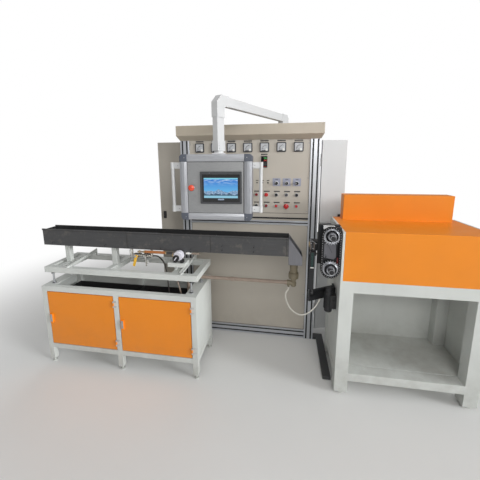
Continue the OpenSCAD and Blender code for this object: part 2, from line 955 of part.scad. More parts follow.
module panel_profiles() {
  hwid = box_width / 2;
  color([0.78, 0.79, 0.80])
    on_box() {
      for (s = [0, 1])
        mirror([s, 0, 0])
          translate([-hwid, box_front, box_low + top_profile])
            linear_extrude(height = box_height - 2 * top_profile)
              rib_section(side_profile, box_depth);
      for (z = [box_low, box_top - top_profile])
        translate([-hwid + side_profile, box_front, z + top_profile])
          rotate([0, 90, 0])
            linear_extrude(height = box_width - 2 * side_profile)
              rib_section(top_profile, box_depth);
    }
}

module corner_block() {
  hwid = box_width / 2;
  c = 14;
  translate([0, box_back, 0])
    rotate([90, 0, 0])
      linear_extrude(height = box_depth)
        polygon([[-hwid, box_low + c], [-hwid + c, box_low], [-hwid + side_profile, box_low],
          [-hwid + side_profile, box_low + top_profile], [-hwid, box_low + top_profile]]);
}

module panel_corners() {
  color([0.22, 0.24, 0.28])
    on_box()
      for (s = [0, 1])
        mirror([s, 0, 0]) {
          corner_block();
          translate([0, 0, 2 * box_mid])
            mirror([0, 0, 1])
              corner_block();
        }
}

module panel_plate() {
  x = box_width / 2 - side_profile;
  color([0.62, 0.63, 0.63])
    on_box()
      difference() {
        box(-x, x, box_front + 4, box_front + 7, box_low + top_profile, box_top - top_profile);
        box(screen_shift - screen_frame_w / 2 + 8, screen_shift + screen_frame_w / 2 - 8, box_front,
          box_front + 8, box_mid - screen_frame_h / 2 + 8, box_mid + screen_frame_h / 2 - 8);
        translate([-stop_shift, 0, box_mid])
          rod_y(22.5, box_front, box_front + 8);
      }
}

module panel_back() {
  x = box_width / 2 - side_profile;
  color([0.60, 0.61, 0.62])
    on_box()
      difference() {
        box(-x, x, box_back - 22, box_back - 2, box_low + top_profile, box_top - top_profile);
        box(-x + sheet, x - sheet, box_back - 23, box_back - 2 - sheet, box_low + top_profile + sheet,
          box_top - top_profile - sheet);
      }
}

module touch_screen() {
  w = screen_frame_w / 2;
  h = screen_frame_h / 2;
  color([0.08, 0.08, 0.09])
    on_box()
      translate([screen_shift, 0, box_mid]) {
        difference() {
          box(-w, w, box_front - 3, box_front + 4, -h, h);
          box(-display_w / 2 - 6, display_w / 2 + 6, box_front - 4, box_front - 1, -display_h / 2 - 6,
            display_h / 2 + 6);
        }
        box(-w + 8, w - 8, box_front + 4, box_front + 45, -h + 8, h - 8);
      }
}

module stop_button() {
  color([0.80, 0.18, 0.10])
    on_box()
      translate([-stop_shift, 0, box_mid]) {
        rod_y(22, box_front + 4, box_front + 50);
        rod_y(32, box_front - 2, box_front + 4);
        rod_y(24, box_front - 12, box_front - 2);
        translate([0, box_front - 12, 0])
          rotate([90, 0, 0])
            cylinder(d1 = mushroom_size, d2 = mushroom_size - 10, h = 14);
      }
}

module panel_handles() {
  x = box_width / 2;
  z0 = box_mid - grip_height / 2;
  z1 = box_mid + grip_height / 2;
  color([0.85, 0.85, 0.86])
    on_box()
      for (s = [0, 1])
        mirror([s, 0, 0]) {
          translate([x + grip_gap + grip_width / 2, box_front + 33, 0])
            rod_z(grip_width, z0, z1);
          for (z = [z0, z1 - grip_mount])
            box(x, x + grip_gap + grip_width / 2, box_front + 23, box_front + 43, z, z + grip_mount);
        }
}

// bench
module bench_post(x, y) {
  box(x, x + bench_tube, y, y + bench_tube, foot_height, bench_top);
}

module bench_frame() {
  t = bench_tube;
  color([0.80, 0.80, 0.74])
    union() {
      ring(bench_left, bench_right, bench_front, bench_rear, bench_top - t, bench_top, t);
      for (x = [bench_left, bench_right - end_plate])
        box(x, x + end_plate, bench_front, bench_rear, bench_top - 5, bench_top);
      ring(bench_left, bench_right, bench_front, bench_rear, bench_lower, lower_top, t);
      for (i = [0 : bench_bays])
        for (y = [bench_front, bench_rear - t])
          bench_post(bench_right - t - i * (bay_width + t), y);
      for (i = [0 : bench_bays])
        for (y = [bench_front + t / 2, bench_rear - t / 2])
          translate([bench_right - t / 2 - i * (bay_width + t), y, 0]) {
            rod_z(14, 8, foot_height);
            rod_z(36, 0, 8);
          }
    }
}

module bench_panels() {
  t = bench_tube;
  color([0.86, 0.87, 0.84]) {
    for (x = [bench_left + 2, bench_right - 5])
      box(x, x + 3, bench_front + t, bench_rear - t, lower_top, bench_top - t);
    for (i = [0 : bench_bays - 1])
      box(bench_right - (i + 1) * (bay_width + t), bench_right - t - i * (bay_width + t),
        bench_rear - 5, bench_rear - 2, lower_top, bench_top - t);
    box(bench_left + t / 2, bench_right - t / 2, bench_front + t, bench_rear - t, lower_top, shelf_top);
  }
}

// doors are hinged at the right edge of each bay
function hinge_at(i) = bench_right - bench_tube - i * (bay_width + bench_tube);
bench_hinge_levels = [bench_door_low + 60, bench_door_high - 60];

module bench_door(i) {
  x = hinge_at(i);
  difference() {
    union() {
      difference() {
        box(x - bench_gap - bench_door_w, x - bench_gap, bench_front, bench_front + bench_door_thick,
          bench_door_low, bench_door_high);
        box(x - bench_gap - bench_door_w + sheet, x - bench_gap - sheet, bench_front + sheet,
          bench_front + bench_door_thick + 1, bench_door_low + sheet, bench_door_high - sheet);
      }
      for (z = bench_hinge_levels) {
        translate([x, bench_hinge_y, 0])
          rod_z(bench_barrel, z - 12, z + 12);
        box(x - 24, x, bench_front - 2.5, bench_front, z - 12, z + 12);
      }
      box(x - bench_door_w + 6, x - bench_door_w + 26, bench_front - 14, bench_front,
        (bench_door_low + bench_door_high) / 2 - 38, (bench_door_low + bench_door_high) / 2 + 38);
    }
    for (z = bench_hinge_levels)
      translate([x, bench_hinge_y, 0])
        rod_z(5 + 2 * pin_clearance, z - 13, z + 13);
  }
}

module bench_hinges() {
  color([0.75, 0.74, 0.70])
    for (i = [0 : bench_bays - 1])
      for (z = bench_hinge_levels) {
        translate([hinge_at(i), bench_hinge_y, 0]) {
          rod_z(5, z - 24, z + 24);
          rod_z(bench_barrel, z - 25, z - 13);
          rod_z(bench_barrel, z + 13, z + 25);
        }
        for (s = [-25, 13])
          box(hinge_at(i), hinge_at(i) + 24, bench_front - 2.5, bench_front, z + s, z + s + 12);
      }
}

module bench_door_right() {
  color([0.89, 0.52, 0.16])
    bench_door(0);
}

module bench_door_left() {
  color([0.89, 0.52, 0.16])
    bench_door(1);
}

module water_tank() {
  t = bench_tube;
  g = tank_gap;
  color([0.45, 0.45, 0.46])
    difference() {
      box(bench_left + t + g, bench_right - t - g, bench_front + t + g, bench_rear - t - g, shelf_top,
        shelf_top + tank_height);
      for (x = [[bench_left + t + g + sheet, bench_right - tank_divide - sheet],
        [bench_right - tank_divide, bench_right - t - g - sheet]])
        box(x[0], x[1], bench_front + t + g + sheet, bench_rear - t - g - sheet, shelf_top + sheet,
          shelf_top + tank_height + 1);
    }
}

stud_front = lift_front + lift_tube / 2;
stud_rear = lift_front + 215;
stud_places = [[bench_right - 56, stud_front], [bench_left + 56, stud_front],
  [bench_right - 38, stud_rear], [bench_left + 38, stud_rear]];
module levelling_studs() {
  color([0.70, 0.71, 0.72])
    for (p = stud_places)
      translate([p[0], p[1], 0]) {
        rod_z(stud_size, bench_top, lift_low);
        rod_z(stud_size * 2.2, bench_top, bench_top + 4);
        translate([0, 0, bench_top + 4])
          cylinder(d = stud_size * 1.9, h = 11, $fn = 6);
        translate([0, 0, lift_low - 11])
          cylinder(d = stud_size * 1.9, h = 11, $fn = 6);
      }
}

// flat bar that lies on the front rail and is packed up on the rear rail
module slanted_bar(x) {
  f = lift_front + 4;
  b = lift_back - 4;
  translate([x, 0, 0])
    rotate([90, 0, 90])
      linear_extrude(height = 8)
        polygon([[f, lift_top], [f, lift_top + 6], [b, cross_top], [b, lift_top], [b - 34, lift_top],
          [b - 34, cross_top - 30], [f + 90, lift_top]]);
}

module lift_frame() {
  t = lift_tube;
  color([0.82, 0.82, 0.76]) {
    union() {
      ring(bench_left, bench_right, lift_front, lift_back, lift_low, lift_top, t);
      for (x = stand_x)
        box(x - t / 2, x + t / 2, lift_front, lift_back, lift_low, lift_top);
      for (x = [bench_right - 129, bench_left + 200])
        slanted_bar(x);
    }
  }
}

plate_left = bench_right - 235;
plate_right = bench_right - 102;
plate_front = lift_front + 30;
plate_back = trough_y - 27;
plate_top = cross_top + 30;
module pump_plate() {
  color([0.82, 0.82, 0.76]) {
    difference() {
      box(plate_left, plate_right, plate_front, plate_back, cross_top, plate_top);
      box(plate_left + 3, plate_right - 3, plate_front + 3, plate_back - 3, cross_top - 1, plate_top - 3);
    }
    box(plate_left + 24, plate_left + 44, plate_back - 30, plate_back - 10, lift_top, plate_top - 1);
  }
}

pump_x = (plate_left + plate_right) / 2 + 12;
pump_z = plate_top + pump_size / 2 + 16;
pump_rear = trough_front - 6;
pump_front = pump_rear - pump_length;
pump_y = (pump_front + pump_rear) / 2;
pump_port = pump_x - pump_size / 2 - 14;
module pump() {
  color([0.85, 0.84, 0.88])
    translate([pump_x, 0, pump_z]) {
      rod_y(pump_size, pump_front, pump_rear);
      translate([-10, 0, -12])
        rod_y(pump_head, pump_front - 24, pump_front + 1);
      translate([0, pump_y, 0])
        rod_x(16, pump_port - pump_x, 0);
      for (x = [-1, 1])
        box(x * 26 - 10, x * 26 + 10, pump_front + 4, pump_rear - 6, plate_top - pump_z, -12);
    }
}

module trough_section() {
  w = trough_width / 2;
  s = trough_sheet;
  difference() {
    union() {
      translate([-w, trough_low])
        square([2 * w, trough_depth]);
    }
    translate([-w + s, trough_low + s])
      square([2 * w - 2 * s, trough_depth]);
  }
  for (m = [0, 1])
    mirror([m, 0])
      translate([w, trough_top - 10])
        difference() {
          translate([-0.01, 0])
            square([trough_rim * 0.5 + 0.01, 10]);
          translate([-1, -1])
            square([trough_rim * 0.5 + 1 - s, 11 - s]);
        }
}

module trough() {
  color([0.55, 0.55, 0.55])
    translate([0, trough_y, 0]) {
      difference() {
        union() {
          translate([trough_left, 0, 0])
            rotate([90, 0, 90])
              linear_extrude(height = trough_length)
                trough_section();
          for (x = [trough_left, trough_right - trough_sheet])
            box(x, x + trough_sheet, -trough_width / 2, trough_width / 2, trough_low, trough_top - 10);
        }
        translate([0, 0, line_z])
          rod_x(product_hole, trough_left - 1, trough_left + 5);
        translate([0, 0, line_z])
          rod_x(product_hole, trough_right - 5, trough_right + 1);
      }
    }
}

module trough_stands() {
  color([0.82, 0.82, 0.76])
    for (x = stand_x) {
      box(x - 20, x + 20, trough_y - 20, trough_y + 20, lift_top, trough_low - 6);
      box(x - 30, x + 30, trough_y - 50, trough_y + 50, trough_low - 6, trough_low);
    }
}

valve_x = bench_right - 513;
valve_y = trough_y - 35;
valve_z = trough_low - 57;
manifold_end = valve_x + 115;
module valve_manifold() {
  color([0.70, 0.70, 0.70])
    union() {
      translate([0, valve_y, valve_z]) {
        rod_x(18, valve_x - 65, manifold_end);
        for (x = [valve_x, valve_x + 80]) {
          translate([x - 24, 0, 0])
            rod_x(34, 0, 48);
          translate([x, 0, 0]) {
            rod_y(16, -26, 0);
            rod_y(10, -36, -26);
            rod_y(15, -40, -36);
          }
        }
        translate([valve_x + 93, 0, 0])
          rod_x(26, 0, 22);
        for (x = [valve_x - 51, manifold_end])
          translate([x, 0, 0])
            rod_z(20, -10, trough_low - valve_z);
      }
      box(valve_x + 76, valve_x + 84, valve_y - 34, valve_y - 28, valve_z - 75, valve_z + 8);
    }
}

module valve_lever() {
  color([0.95, 0.72, 0.10])
    translate([valve_x, valve_y, valve_z])
      rotate([0, lever_tilt, 0])
        difference() {
          union() {
            rod_y(24, -34, -28);
            box(-lever_width / 2, lever_width / 2, -33, -29, -lever_length, 0);
          }
          rod_y(10.2, -35, -27);
        }
}

// hose from the valves, past the pump plate and down into the tank
module feed_hose() {
  x = manifold_end + 10.5;
  y = valve_y;
  z = valve_z;
  color([0.06, 0.06, 0.06])
    swept([[x, y, z], [x + 20, y - 1, z + 1], [x + 45, y - 6, z - 2], [x + 70, y - 16, z - 14],
      [x + 94, y - 28, z - 34], [x + 112, y - 38, z - 62], [x + 124, y - 46, z - 94],
      [x + 131, y - 51, z - 128], [x + 135, y - 53, z - 168], [x + 137, y - 53, z - 208],
      [x + 138, y - 52, z - 248], [x + 138, y - 50, z - 286], [x + 138, y - 48, z - 328],
      [x + 138, y - 46, z - 368], [x + 138, y - 45, z - 408]], 12);
}

module drain_box() {
  w = trough_width / 2;
  x0 = trough_right;
  x1 = drain_right;
  slope_low = trough_low + 3;
  color([0.66, 0.66, 0.67])
    translate([0, trough_y, 0])
      difference() {
        translate([0, w, 0])
          rotate([90, 0, 0])
            linear_extrude(height = 2 * w)
              polygon([[x0, drain_low], [x1, drain_low], [x1, slope_low], [x0, trough_top - 2]]);
        translate([0, w - trough_sheet, 0])
          rotate([90, 0, 0])
            linear_extrude(height = 2 * w - 2 * trough_sheet)
              polygon([[x0 + trough_sheet, drain_low + trough_sheet],
                [x1 - trough_sheet, drain_low + trough_sheet], [x1 - trough_sheet, slope_low + 50],
                [x0 + trough_sheet, trough_top + 50]]);
        translate([0, 0, line_z])
          rod_x(product_hole, x0 - 1, x0 + 5);
        translate([drain_x, 0, 0])
          rod_z(30, drain_low - 1, drain_low + 5);
      }
}

module drain_fitting() {
  color([0.55, 0.48, 0.36])
    translate([drain_x, trough_y, 0])
      difference() {
        union() {
          rod_z(52, drain_low - 38, drain_low);
          translate([0, 0, drain_low - 80])
            cylinder(d = 67, h = 42, $fn = 8);
          rod_z(48, return_z - 24, drain_low - 80);
          translate([0, 0, return_z])
            rod_x(40, -44, 0);
          translate([-34, 0, 0])
            rod_z(spigot_size, return_z - 34, return_z);
        }
        rod_z(28, drain_low - 100, drain_low + 1);
      }
}

// return pipe to the tank, supply pipe between valves and pump, and a thin overflow tube
module return_pipe() {
  d = return_pipe_size;
  x0 = bench_right - end_plate - 30;
  color([0.55, 0.45, 0.39]) {
    translate([0, trough_y, return_z]) {
      rod_x(d, x0, drain_x - 44);
      translate([x0, 0, 0])
        sphere(d = d + 8);
      translate([x0, 0, 0])
        rod_z(d, bench_height - return_z - 180, 0);
    }
    translate([0, trough_front - 2 - supply_size, pump_z + 10])
      rod_x(supply_size, valve_x + 25, pump_x - pump_size / 2 - 0.2);
    translate([stand_x[0], bench_front + 121, lift_low - 1.6])
      rotate([0, -14, 0])
        rod_z(11, -150, 0);
  }
}

module drain_hose() {
  y = trough_y;
  color([0.88, 0.87, 0.82])
    swept([[drain_x - 34, y, return_z - 34], [drain_x - 36, y, return_z - 55], [345, y, 655],
      [343, y, 625], [350, y, 590], [363, y, 558], [380, y, 530], [402, y, 508], [428, y, 492],
      [455, y, 485], [482, y, 488], [505, y, 500], [528, y, 520], [550, y, 545], [568, y, 572],
      [582, y, 600], [590, y, 622], [590, y, guide_low]], hose_size);
}

// haul-off
module haul_frame() {
  t = haul_leg;
  u = upper_post;
  color([0.80, 0.80, 0.75])
    union() {
      for (x = [haul_left, haul_right - t])
        for (y = [haul_front, haul_rear - t])
          box(x, x + t, y, y + t, 20, haul_table);
      ring(haul_left, haul_right, haul_front, haul_rear, haul_table - haul_rail, haul_table, t);
      ring(haul_left, haul_right, haul_front, haul_rear, haul_lower, haul_lower + 60, t);
      for (x = [haul_left, haul_right - u]) {
        for (y = [haul_front, haul_rear - u])
          box(x, x + u, y, y + u, haul_table, haul_height);
        box(x, x + u, haul_front, haul_rear, haul_height - u, haul_height);
      }
      for (x = [haul_left + t / 2, haul_right - t / 2])
        for (y = [haul_front + t / 2, haul_rear - t / 2])
          translate([x, y, 0])
            rod_z(60, 0, 20);
    }
}

module haul_panels() {
  t = haul_leg;
  u = upper_post;
  color([0.78, 0.77, 0.70]) {
    for (s = [0, 1])
      difference() {
        translate([s * (haul_length - 4), 0, 0])
          box(haul_left, haul_left + 4, haul_front + u, haul_rear - u, haul_table, haul_height - u);
        translate([0, trough_y, line_z])
          rod_x(70, haul_left - 2, haul_right + 2);
      }
    for (x = [haul_left + 4, haul_right - 7])
      box(x, x + 3, haul_front + t, haul_rear - t, haul_lower + 60, haul_table - haul_rail);
    box(haul_left + t, haul_right - t, haul_rear - 7, haul_rear - 4, haul_lower + 60, haul_table - haul_rail);
    box(haul_left + u, haul_right - u, haul_rear - 4, haul_rear, haul_table, haul_height - 3);
    box(haul_left + 7, haul_right - 7, haul_front + t, haul_rear - t, haul_lower + 60, haul_lower + 63);
  }
}

module haul_covers() {
  u = upper_post;
  color([0.89, 0.52, 0.16]) {
    box(haul_left + u, haul_right - u, haul_front, haul_front + 4, haul_table, haul_height - 3);
    box(haul_left + u, haul_right - u, haul_front, haul_rear, haul_height - 3, haul_height);
    difference() {
      box(haul_left + hood_inset, haul_right - hood_inset, haul_rear - hood_depth, haul_rear,
        haul_height, haul_height + hood_height);
      box(haul_left + hood_inset + 3, haul_right - hood_inset - 3, haul_rear - hood_depth + 3,
        haul_rear - 3, haul_height - 1, haul_height + hood_height - 3);
    }
  }
}

// middle of chain joint i, counted round the loop from the right side of the upper sprocket
function chain_point(i) = let (half = sprocket_teeth / 2, n = straight_pitches)
  i < half ? [pitch_radius * cos(i * tooth_step), sprocket_high + pitch_radius * sin(i * tooth_step)]
  : i < half + n ? [-pitch_radius, sprocket_high - (i - half) * chain_pitch]
  : i < 2 * half + n ? [pitch_radius * cos((i - n) * tooth_step),
      sprocket_low + pitch_radius * sin((i - n) * tooth_step)]
  : [pitch_radius, sprocket_low + (i - 2 * half - n) * chain_pitch];
chain_joints = [for (i = [0 : sprocket_teeth + 2 * straight_pitches - 1]) chain_point(i)];

// outline of one link plate, waisted between its two round ends
module link_outline() {
  r = link_height / 2;
  e = [for (a = [-75 : 30 : 75]) [chain_pitch / 2 + r * cos(a), r * sin(a)]];
  polygon(concat(e, [[0, r * 0.78]], [for (p = e) [-p[0], -p[1]]], [[0, -r * 0.78]]));
}

// every second link, starting with the given one
module links(first) {
  n = len(chain_joints);
  for (i = [first : 2 : n - 1]) {
    a = chain_joints[i];
    b = chain_joints[(i + 1) % n];
    translate((a + b) / 2)
      rotate(atan2(b[1] - a[1], b[0] - a[0]))
        link_outline();
  }
}

module joint_discs(d, sides) {
  for (p = chain_joints)
    translate(p)
      rotate(180 / sides)
        circle(d = d, $fn = sides);
}

// raises a drawing in the plane of the chain to a layer between two depths
module chain_layer(y0, y1) {
  translate([sprocket_x, y1, 0])
    rotate([90, 0, 0])
      linear_extrude(height = y1 - y0)
        children();
}

module drive_chain() {
  p = link_plate;
  color([0.10, 0.10, 0.11])
    union() {
      for (y = [chain_front, chain_rear - p])
        chain_layer(y, y + p)
          links(0);
      for (y = [chain_front + p, chain_rear - 2 * p])
        chain_layer(y, y + p)
          links(1);
      chain_layer(chain_front + 2 * p, chain_rear - 2 * p)
        joint_discs(roller_size, 8);
      chain_layer(chain_front - 1.5, chain_rear + 1.5)
        joint_discs(4.4, 6);
    }
}

// toothed disc outline: a seat for each roller and a pointed tooth between two seats
module sprocket_outline() {
  seat = roller_size / 2 + 0.5;
  q = tooth_step / 2;
  polygon([for (i = [0 : sprocket_teeth - 1])
    for (c = [[-0.71, -seat * 0.17], [-0.465, -seat * 0.76], [0, -seat], [0.465, -seat * 0.76],
      [0.71, -seat * 0.17], [0.87, tooth_rise], [1.13, tooth_rise]])
      let (a = i * tooth_step + c[0] * q, r = pitch_radius + c[1]) [r * cos(a), r * sin(a)]]);
}

module drive_sprockets() {
  w = chain_inner / 2 - 0.6;
  rim = pitch_radius - roller_size - 2;
  hub = shaft_size + 14;
  color([0.72, 0.73, 0.75])
    for (z = [sprocket_low, sprocket_high]) {
      chain_layer(chain_middle - w, chain_middle + w)
        translate([0, z])
          sprocket_outline();
      translate([sprocket_x, 0, z])
        difference() {
          union() {
            rod_y(2 * rim, chain_front - 5, chain_middle);
            rod_y(hub, chain_middle, drive_front - 0.3);
          }
          rod_y(2 * rim - 26, chain_front - 6, chain_middle - w - 1);
        }
      translate([sprocket_x, 0, z])
        difference() {
          union() {
            rod_y(hub, chain_front - 14, chain_middle);
            rod_y(shaft_size, chain_front - shaft_reach, chain_middle);
          }
          rod_y(shaft_size - 13, chain_front - shaft_reach - 1, chain_front - 8);
        }
    }
}

// light bracket plate between the two sprockets, with a slanted foot
module drive_bracket() {
  x = sprocket_x;
  color([0.60, 0.60, 0.61])
    difference() {
      translate([0, drive_front, 0])
        rotate([90, 0, 0])
          linear_extrude(height = bracket_thick)
            polygon([[x - 41, sprocket_low + 72], [x + 20, sprocket_low + 60], [x + 34, sprocket_low + 76],
              [x + 32, sprocket_high - 42], [x - 34, sprocket_high - 42], [x - 42, sprocket_high - 60]]);
      translate([x - 31, 0, sprocket_low + 88])
        rod_y(11, drive_front - bracket_thick - 1, drive_front - bracket_thick + 8);
    }
}

module drive_housing() {
  left = sprocket_x - housing_left;
  mid = (drive_front + drive_rear) / 2;
  front_top = sprocket_high + 48;
  rear_top = sprocket_high + 54;
  color([0.30, 0.30, 0.31])
    union() {
      box(left + 24, haul_left, drive_front, mid - 10, sprocket_low - 24, front_top);
      box(left, haul_left, mid + 8, drive_rear, sprocket_low + 4, rear_top);
      box(left + 32, haul_left, mid - 12, mid + 10, sprocket_low - 8, sprocket_high + 32);
      box(left + 24, haul_left - 42, drive_front + 3, mid - 14, front_top, front_top + 7);
      box(left, haul_left - 60, mid + 12, drive_rear - 3, rear_top, rear_top + 7);
    }
}

module drive_motor() {
  color([0.06, 0.06, 0.07]) {
    translate([haul_left - 42, drive_front + 70, 0]) {
      rod_z(76, motor_z - 90, motor_z + 60);
      rod_z(60, motor_z + 60, motor_z + 90);
    }
    box(haul_left - 42, haul_left, drive_front + 40, drive_front + 100, motor_z - 60, motor_z + 40);
  }
}

module line_guide() {
  arm_x = guide_x - 34;
  arm_y = trough_y - 74;
  reach = haul_left - 8 - arm_x;
  rise = 112;
  turn = atan2(rise, reach);
  color([0.12, 0.12, 0.13])
    difference() {
      union() {
        translate([arm_x, arm_y, guide_low])
          rotate(turn)
            cube([reach / cos(turn), 12, guide_top - guide_low]);
        box(haul_left - 10, haul_left + 4, arm_y + rise - 40, arm_y + rise + 40, guide_low, guide_top);
        box(guide_x - 34, guide_x - 10, arm_y + 6, arm_y + 30, guide_top - 30, line_z - 33);
        box(guide_x - 36, guide_x + 2, arm_y + 12, trough_y - 30, line_z - 63, line_z - 33);
        box(guide_x - 40, guide_x + 36, trough_y - 38, trough_y + 34, line_z - 33, line_z + 33);
      }
      translate([0, trough_y, line_z])
        rod_x(product_hole, guide_x - 50, guide_x + 50);
    }
}

module cable_cover() {
  y0 = -hd;
  color([0.20, 0.20, 0.20])
    union() {
      box(hw, haul_left, y0, y0 + cover_width, 0, cover_height);
      box(haul_left - cover_width, haul_left, haul_front + 120, y0 + 1, 0, cover_height);
    }
}

cabinet_posts();
cabinet_rails();
canopy();
front_panels();
rear_panel();
floor_pan();
mounting_plate();
ammeters();
temperature_display();
speed_knobs();
push_buttons();
side_panels();
door_hinges();
left_side_door();
left_door_lock();
right_side_door();
right_door_lock();
arm_base();
arm_beam();
arm_elbow();
drop_tube();
swivel_coupling();
panel_flange();
panel_profiles();
panel_corners();
panel_plate();
panel_back();
touch_screen();
stop_button();
panel_handles();
bench_frame();
bench_panels();
bench_hinges();
bench_door_right();
bench_door_left();
water_tank();
levelling_studs();
lift_frame();
pump_plate();
pump();
trough();
trough_stands();
valve_manifold();
valve_lever();
feed_hose();
drain_box();
drain_fitting();
return_pipe();
drain_hose();
haul_frame();
haul_panels();
haul_covers();
drive_housing();
drive_bracket();
drive_sprockets();
drive_chain();
drive_motor();
line_guide();
cable_cover();
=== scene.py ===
import bpy
import bmesh
import json
import math
from mathutils import Matrix, Vector
from mathutils.geometry import area_tri


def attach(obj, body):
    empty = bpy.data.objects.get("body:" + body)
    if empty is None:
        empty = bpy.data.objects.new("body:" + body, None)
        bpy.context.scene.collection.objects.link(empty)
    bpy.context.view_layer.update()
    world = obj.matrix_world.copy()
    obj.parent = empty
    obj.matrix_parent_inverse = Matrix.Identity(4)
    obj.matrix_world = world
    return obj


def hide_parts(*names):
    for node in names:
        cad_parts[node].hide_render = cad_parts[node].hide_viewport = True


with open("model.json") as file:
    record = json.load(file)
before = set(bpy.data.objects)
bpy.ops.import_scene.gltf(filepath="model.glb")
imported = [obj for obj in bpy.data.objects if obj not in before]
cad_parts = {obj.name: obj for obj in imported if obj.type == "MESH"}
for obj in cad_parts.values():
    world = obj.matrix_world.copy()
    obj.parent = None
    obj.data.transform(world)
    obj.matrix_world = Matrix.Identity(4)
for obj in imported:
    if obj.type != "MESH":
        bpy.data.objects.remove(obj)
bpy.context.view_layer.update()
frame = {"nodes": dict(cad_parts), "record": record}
body_of_node = {n: b for b, names in frame["record"]["behaviour"]["bodies"].items() for n in names}
slot_of_node = {s["node"]: s["material_slot"] for s in frame["record"]["subparts"]}
MM = 0.001
QUARTER = math.pi / 2


def linked(name, data):
    """a new object of the scene"""
    obj = bpy.data.objects.new(name, data)
    bpy.context.scene.collection.objects.link(obj)
    return obj


def at(x, y, z=0.0):
    return Matrix.Translation((x, y, z))


def spun(angle, axis="Z"):
    """a turn about an axis by an angle in radians"""
    return Matrix.Rotation(angle, 4, axis)


# ------------ camera
# a stand that looks ahead along +Y, turned to the left by YAW, down by PITCH and about its line of sight by ROLL
SENSOR, PICTURE_PIXELS, FOCAL_PIXELS = 36.0, 480, 278.2173
YAW, PITCH, ROLL, STAND = 0.1657, 0.1741, -0.005, (0.3207, -2.6844, 1.6149)
lens = bpy.data.cameras.new("camera")
lens.sensor_width, lens.lens = SENSOR, FOCAL_PIXELS / PICTURE_PIXELS * SENSOR
lens.shift_x, lens.shift_y = 0.0025, -0.0619
camera = linked("camera", lens)
camera.matrix_world = at(*STAND) @ spun(YAW) @ spun(QUARTER - PITCH, "X") @ spun(ROLL)
bpy.context.scene.camera = camera
bpy.context.scene.view_settings.view_transform = "Standard"


# ------------ materials
def new_material(name):
    mat = bpy.data.materials.new(name)
    mat.use_nodes = True
    tree = mat.node_tree
    shader = tree.nodes["Principled BSDF"]
    coord = tree.nodes.new("ShaderNodeTexCoord")
    return mat, tree, shader, coord.outputs["Object"]


def fill(tree, node, values):
    """sets inputs of a node, by name or as i and a number, to plain values or to what another node gives"""
    for key, value in values.items():
        socket = node.inputs[int(key[1:])] if key[0] == "i" and key[1:].isdigit() else node.inputs[key]
        if isinstance(value, bpy.types.NodeSocket):
            tree.links.new(value, socket)
        else:
            socket.default_value = value
    return node


def put(tree, kind, **inputs):
    """a new node, its own settings marked by a leading underscore"""
    node = tree.nodes.new(kind)
    for key in [k for k in inputs if k[0] == "_"]:
        setattr(node, key[1:], inputs.pop(key))
    return fill(tree, node, inputs)


def calc(tree, operation, *values):
    return put(tree, "ShaderNodeMath", _operation=operation, **{f"i{k}": v for k, v in enumerate(values)}).outputs[0]


def stretched(tree, coord, scale):
    return put(tree, "ShaderNodeMapping", Vector=coord, Scale=scale).outputs[0]


def noise(tree, vector, scale, detail=3.0, rough=0.5):
    return put(tree, "ShaderNodeTexNoise", Vector=vector, Scale=scale, Detail=detail, Roughness=rough).outputs[0]


def remap(tree, value, a, b, c, d):
    return put(tree, "ShaderNodeMapRange", i0=value, i1=a, i2=b, i3=c, i4=d).outputs[0]


def mixed(tree, factor, first, second):
    return put(tree, "ShaderNodeMix", _data_type="RGBA", i0=factor, i6=first, i7=second).outputs[2]


def rgba(c, k=1.0):
    return (min(1, c[0] * k), min(1, c[1] * k), min(1, c[2] * k), 1)


def surfaced(tree, shader, tone, rough, height, distance, strength, coat=0.0, coat_rough=0.0):
    """tone, roughness, fine relief and a clear coat on a shader"""
    bump = put(tree, "ShaderNodeBump", Height=height, Distance=distance, Strength=strength).outputs[0]
    fill(tree, shader, {"Base Color": tone, "Roughness": rough, "Normal": bump})
    if coat:
        fill(tree, shader, {"Coat Weight": coat, "Coat Roughness": coat_rough})


def floor_grime(tree, coord, colour, reach, dirt, strength):
    """colour that turns to dirt over the lowest reach of height, in uneven patches"""
    z = put(tree, "ShaderNodeSeparateXYZ", Vector=coord).outputs[2]
    low = remap(tree, z, 0.0, reach, strength, 0.0)
    patches = remap(tree, noise(tree, coord, 9.0, 5.0, 0.6), 0.35, 0.7, 0.2, 1.0)
    factor = calc(tree, "MULTIPLY", low, patches)
    return mixed(tree, factor, colour, rgba(dirt))


def paint(name, colour, rough=0.4, mottle=0.06, peel=0.00012, peel_scale=420.0, coat=0.0, grime=0.0, reach=0.5,
          dirt=(0.20, 0.18, 0.15), stain=0.0, scuff=0.0):
    """sprayed or powder-coated sheet: cloudy tone, orange peel, small scuffs, dirt near the floor"""
    mat, tree, shader, coord = new_material(name)
    cloud = remap(tree, noise(tree, coord, 2.3, 4.0, 0.55), 0.3, 0.7, 0.0, 1.0)
    tone = mixed(tree, cloud, rgba(colour, 1 - mottle), rgba(colour, 1 + mottle * 0.7))
    if stain:
        streak = noise(tree, stretched(tree, coord, (14, 14, 1.6)), 1.0, 5.0, 0.6)
        factor = remap(tree, streak, 0.56, 0.78, 0.0, stain)
        tone = mixed(tree, factor, tone, rgba(colour, 0.62))
    if grime:
        tone = floor_grime(tree, coord, tone, reach, dirt, grime)
    if scuff:
        specks = noise(tree, coord, 46.0, 6.0, 0.72)
        factor = remap(tree, specks, 0.66, 0.74, 0.0, scuff)
        tone = mixed(tree, factor, tone, rgba(dirt, 1.3))
    sheen = remap(tree, noise(tree, coord, 7.0, 5.0, 0.6), 0.3, 0.7, rough - 0.07, rough + 0.09)
    surfaced(tree, shader, tone, sheen, noise(tree, coord, peel_scale, 2.0), peel, 0.6, coat, 0.12)
    return mat


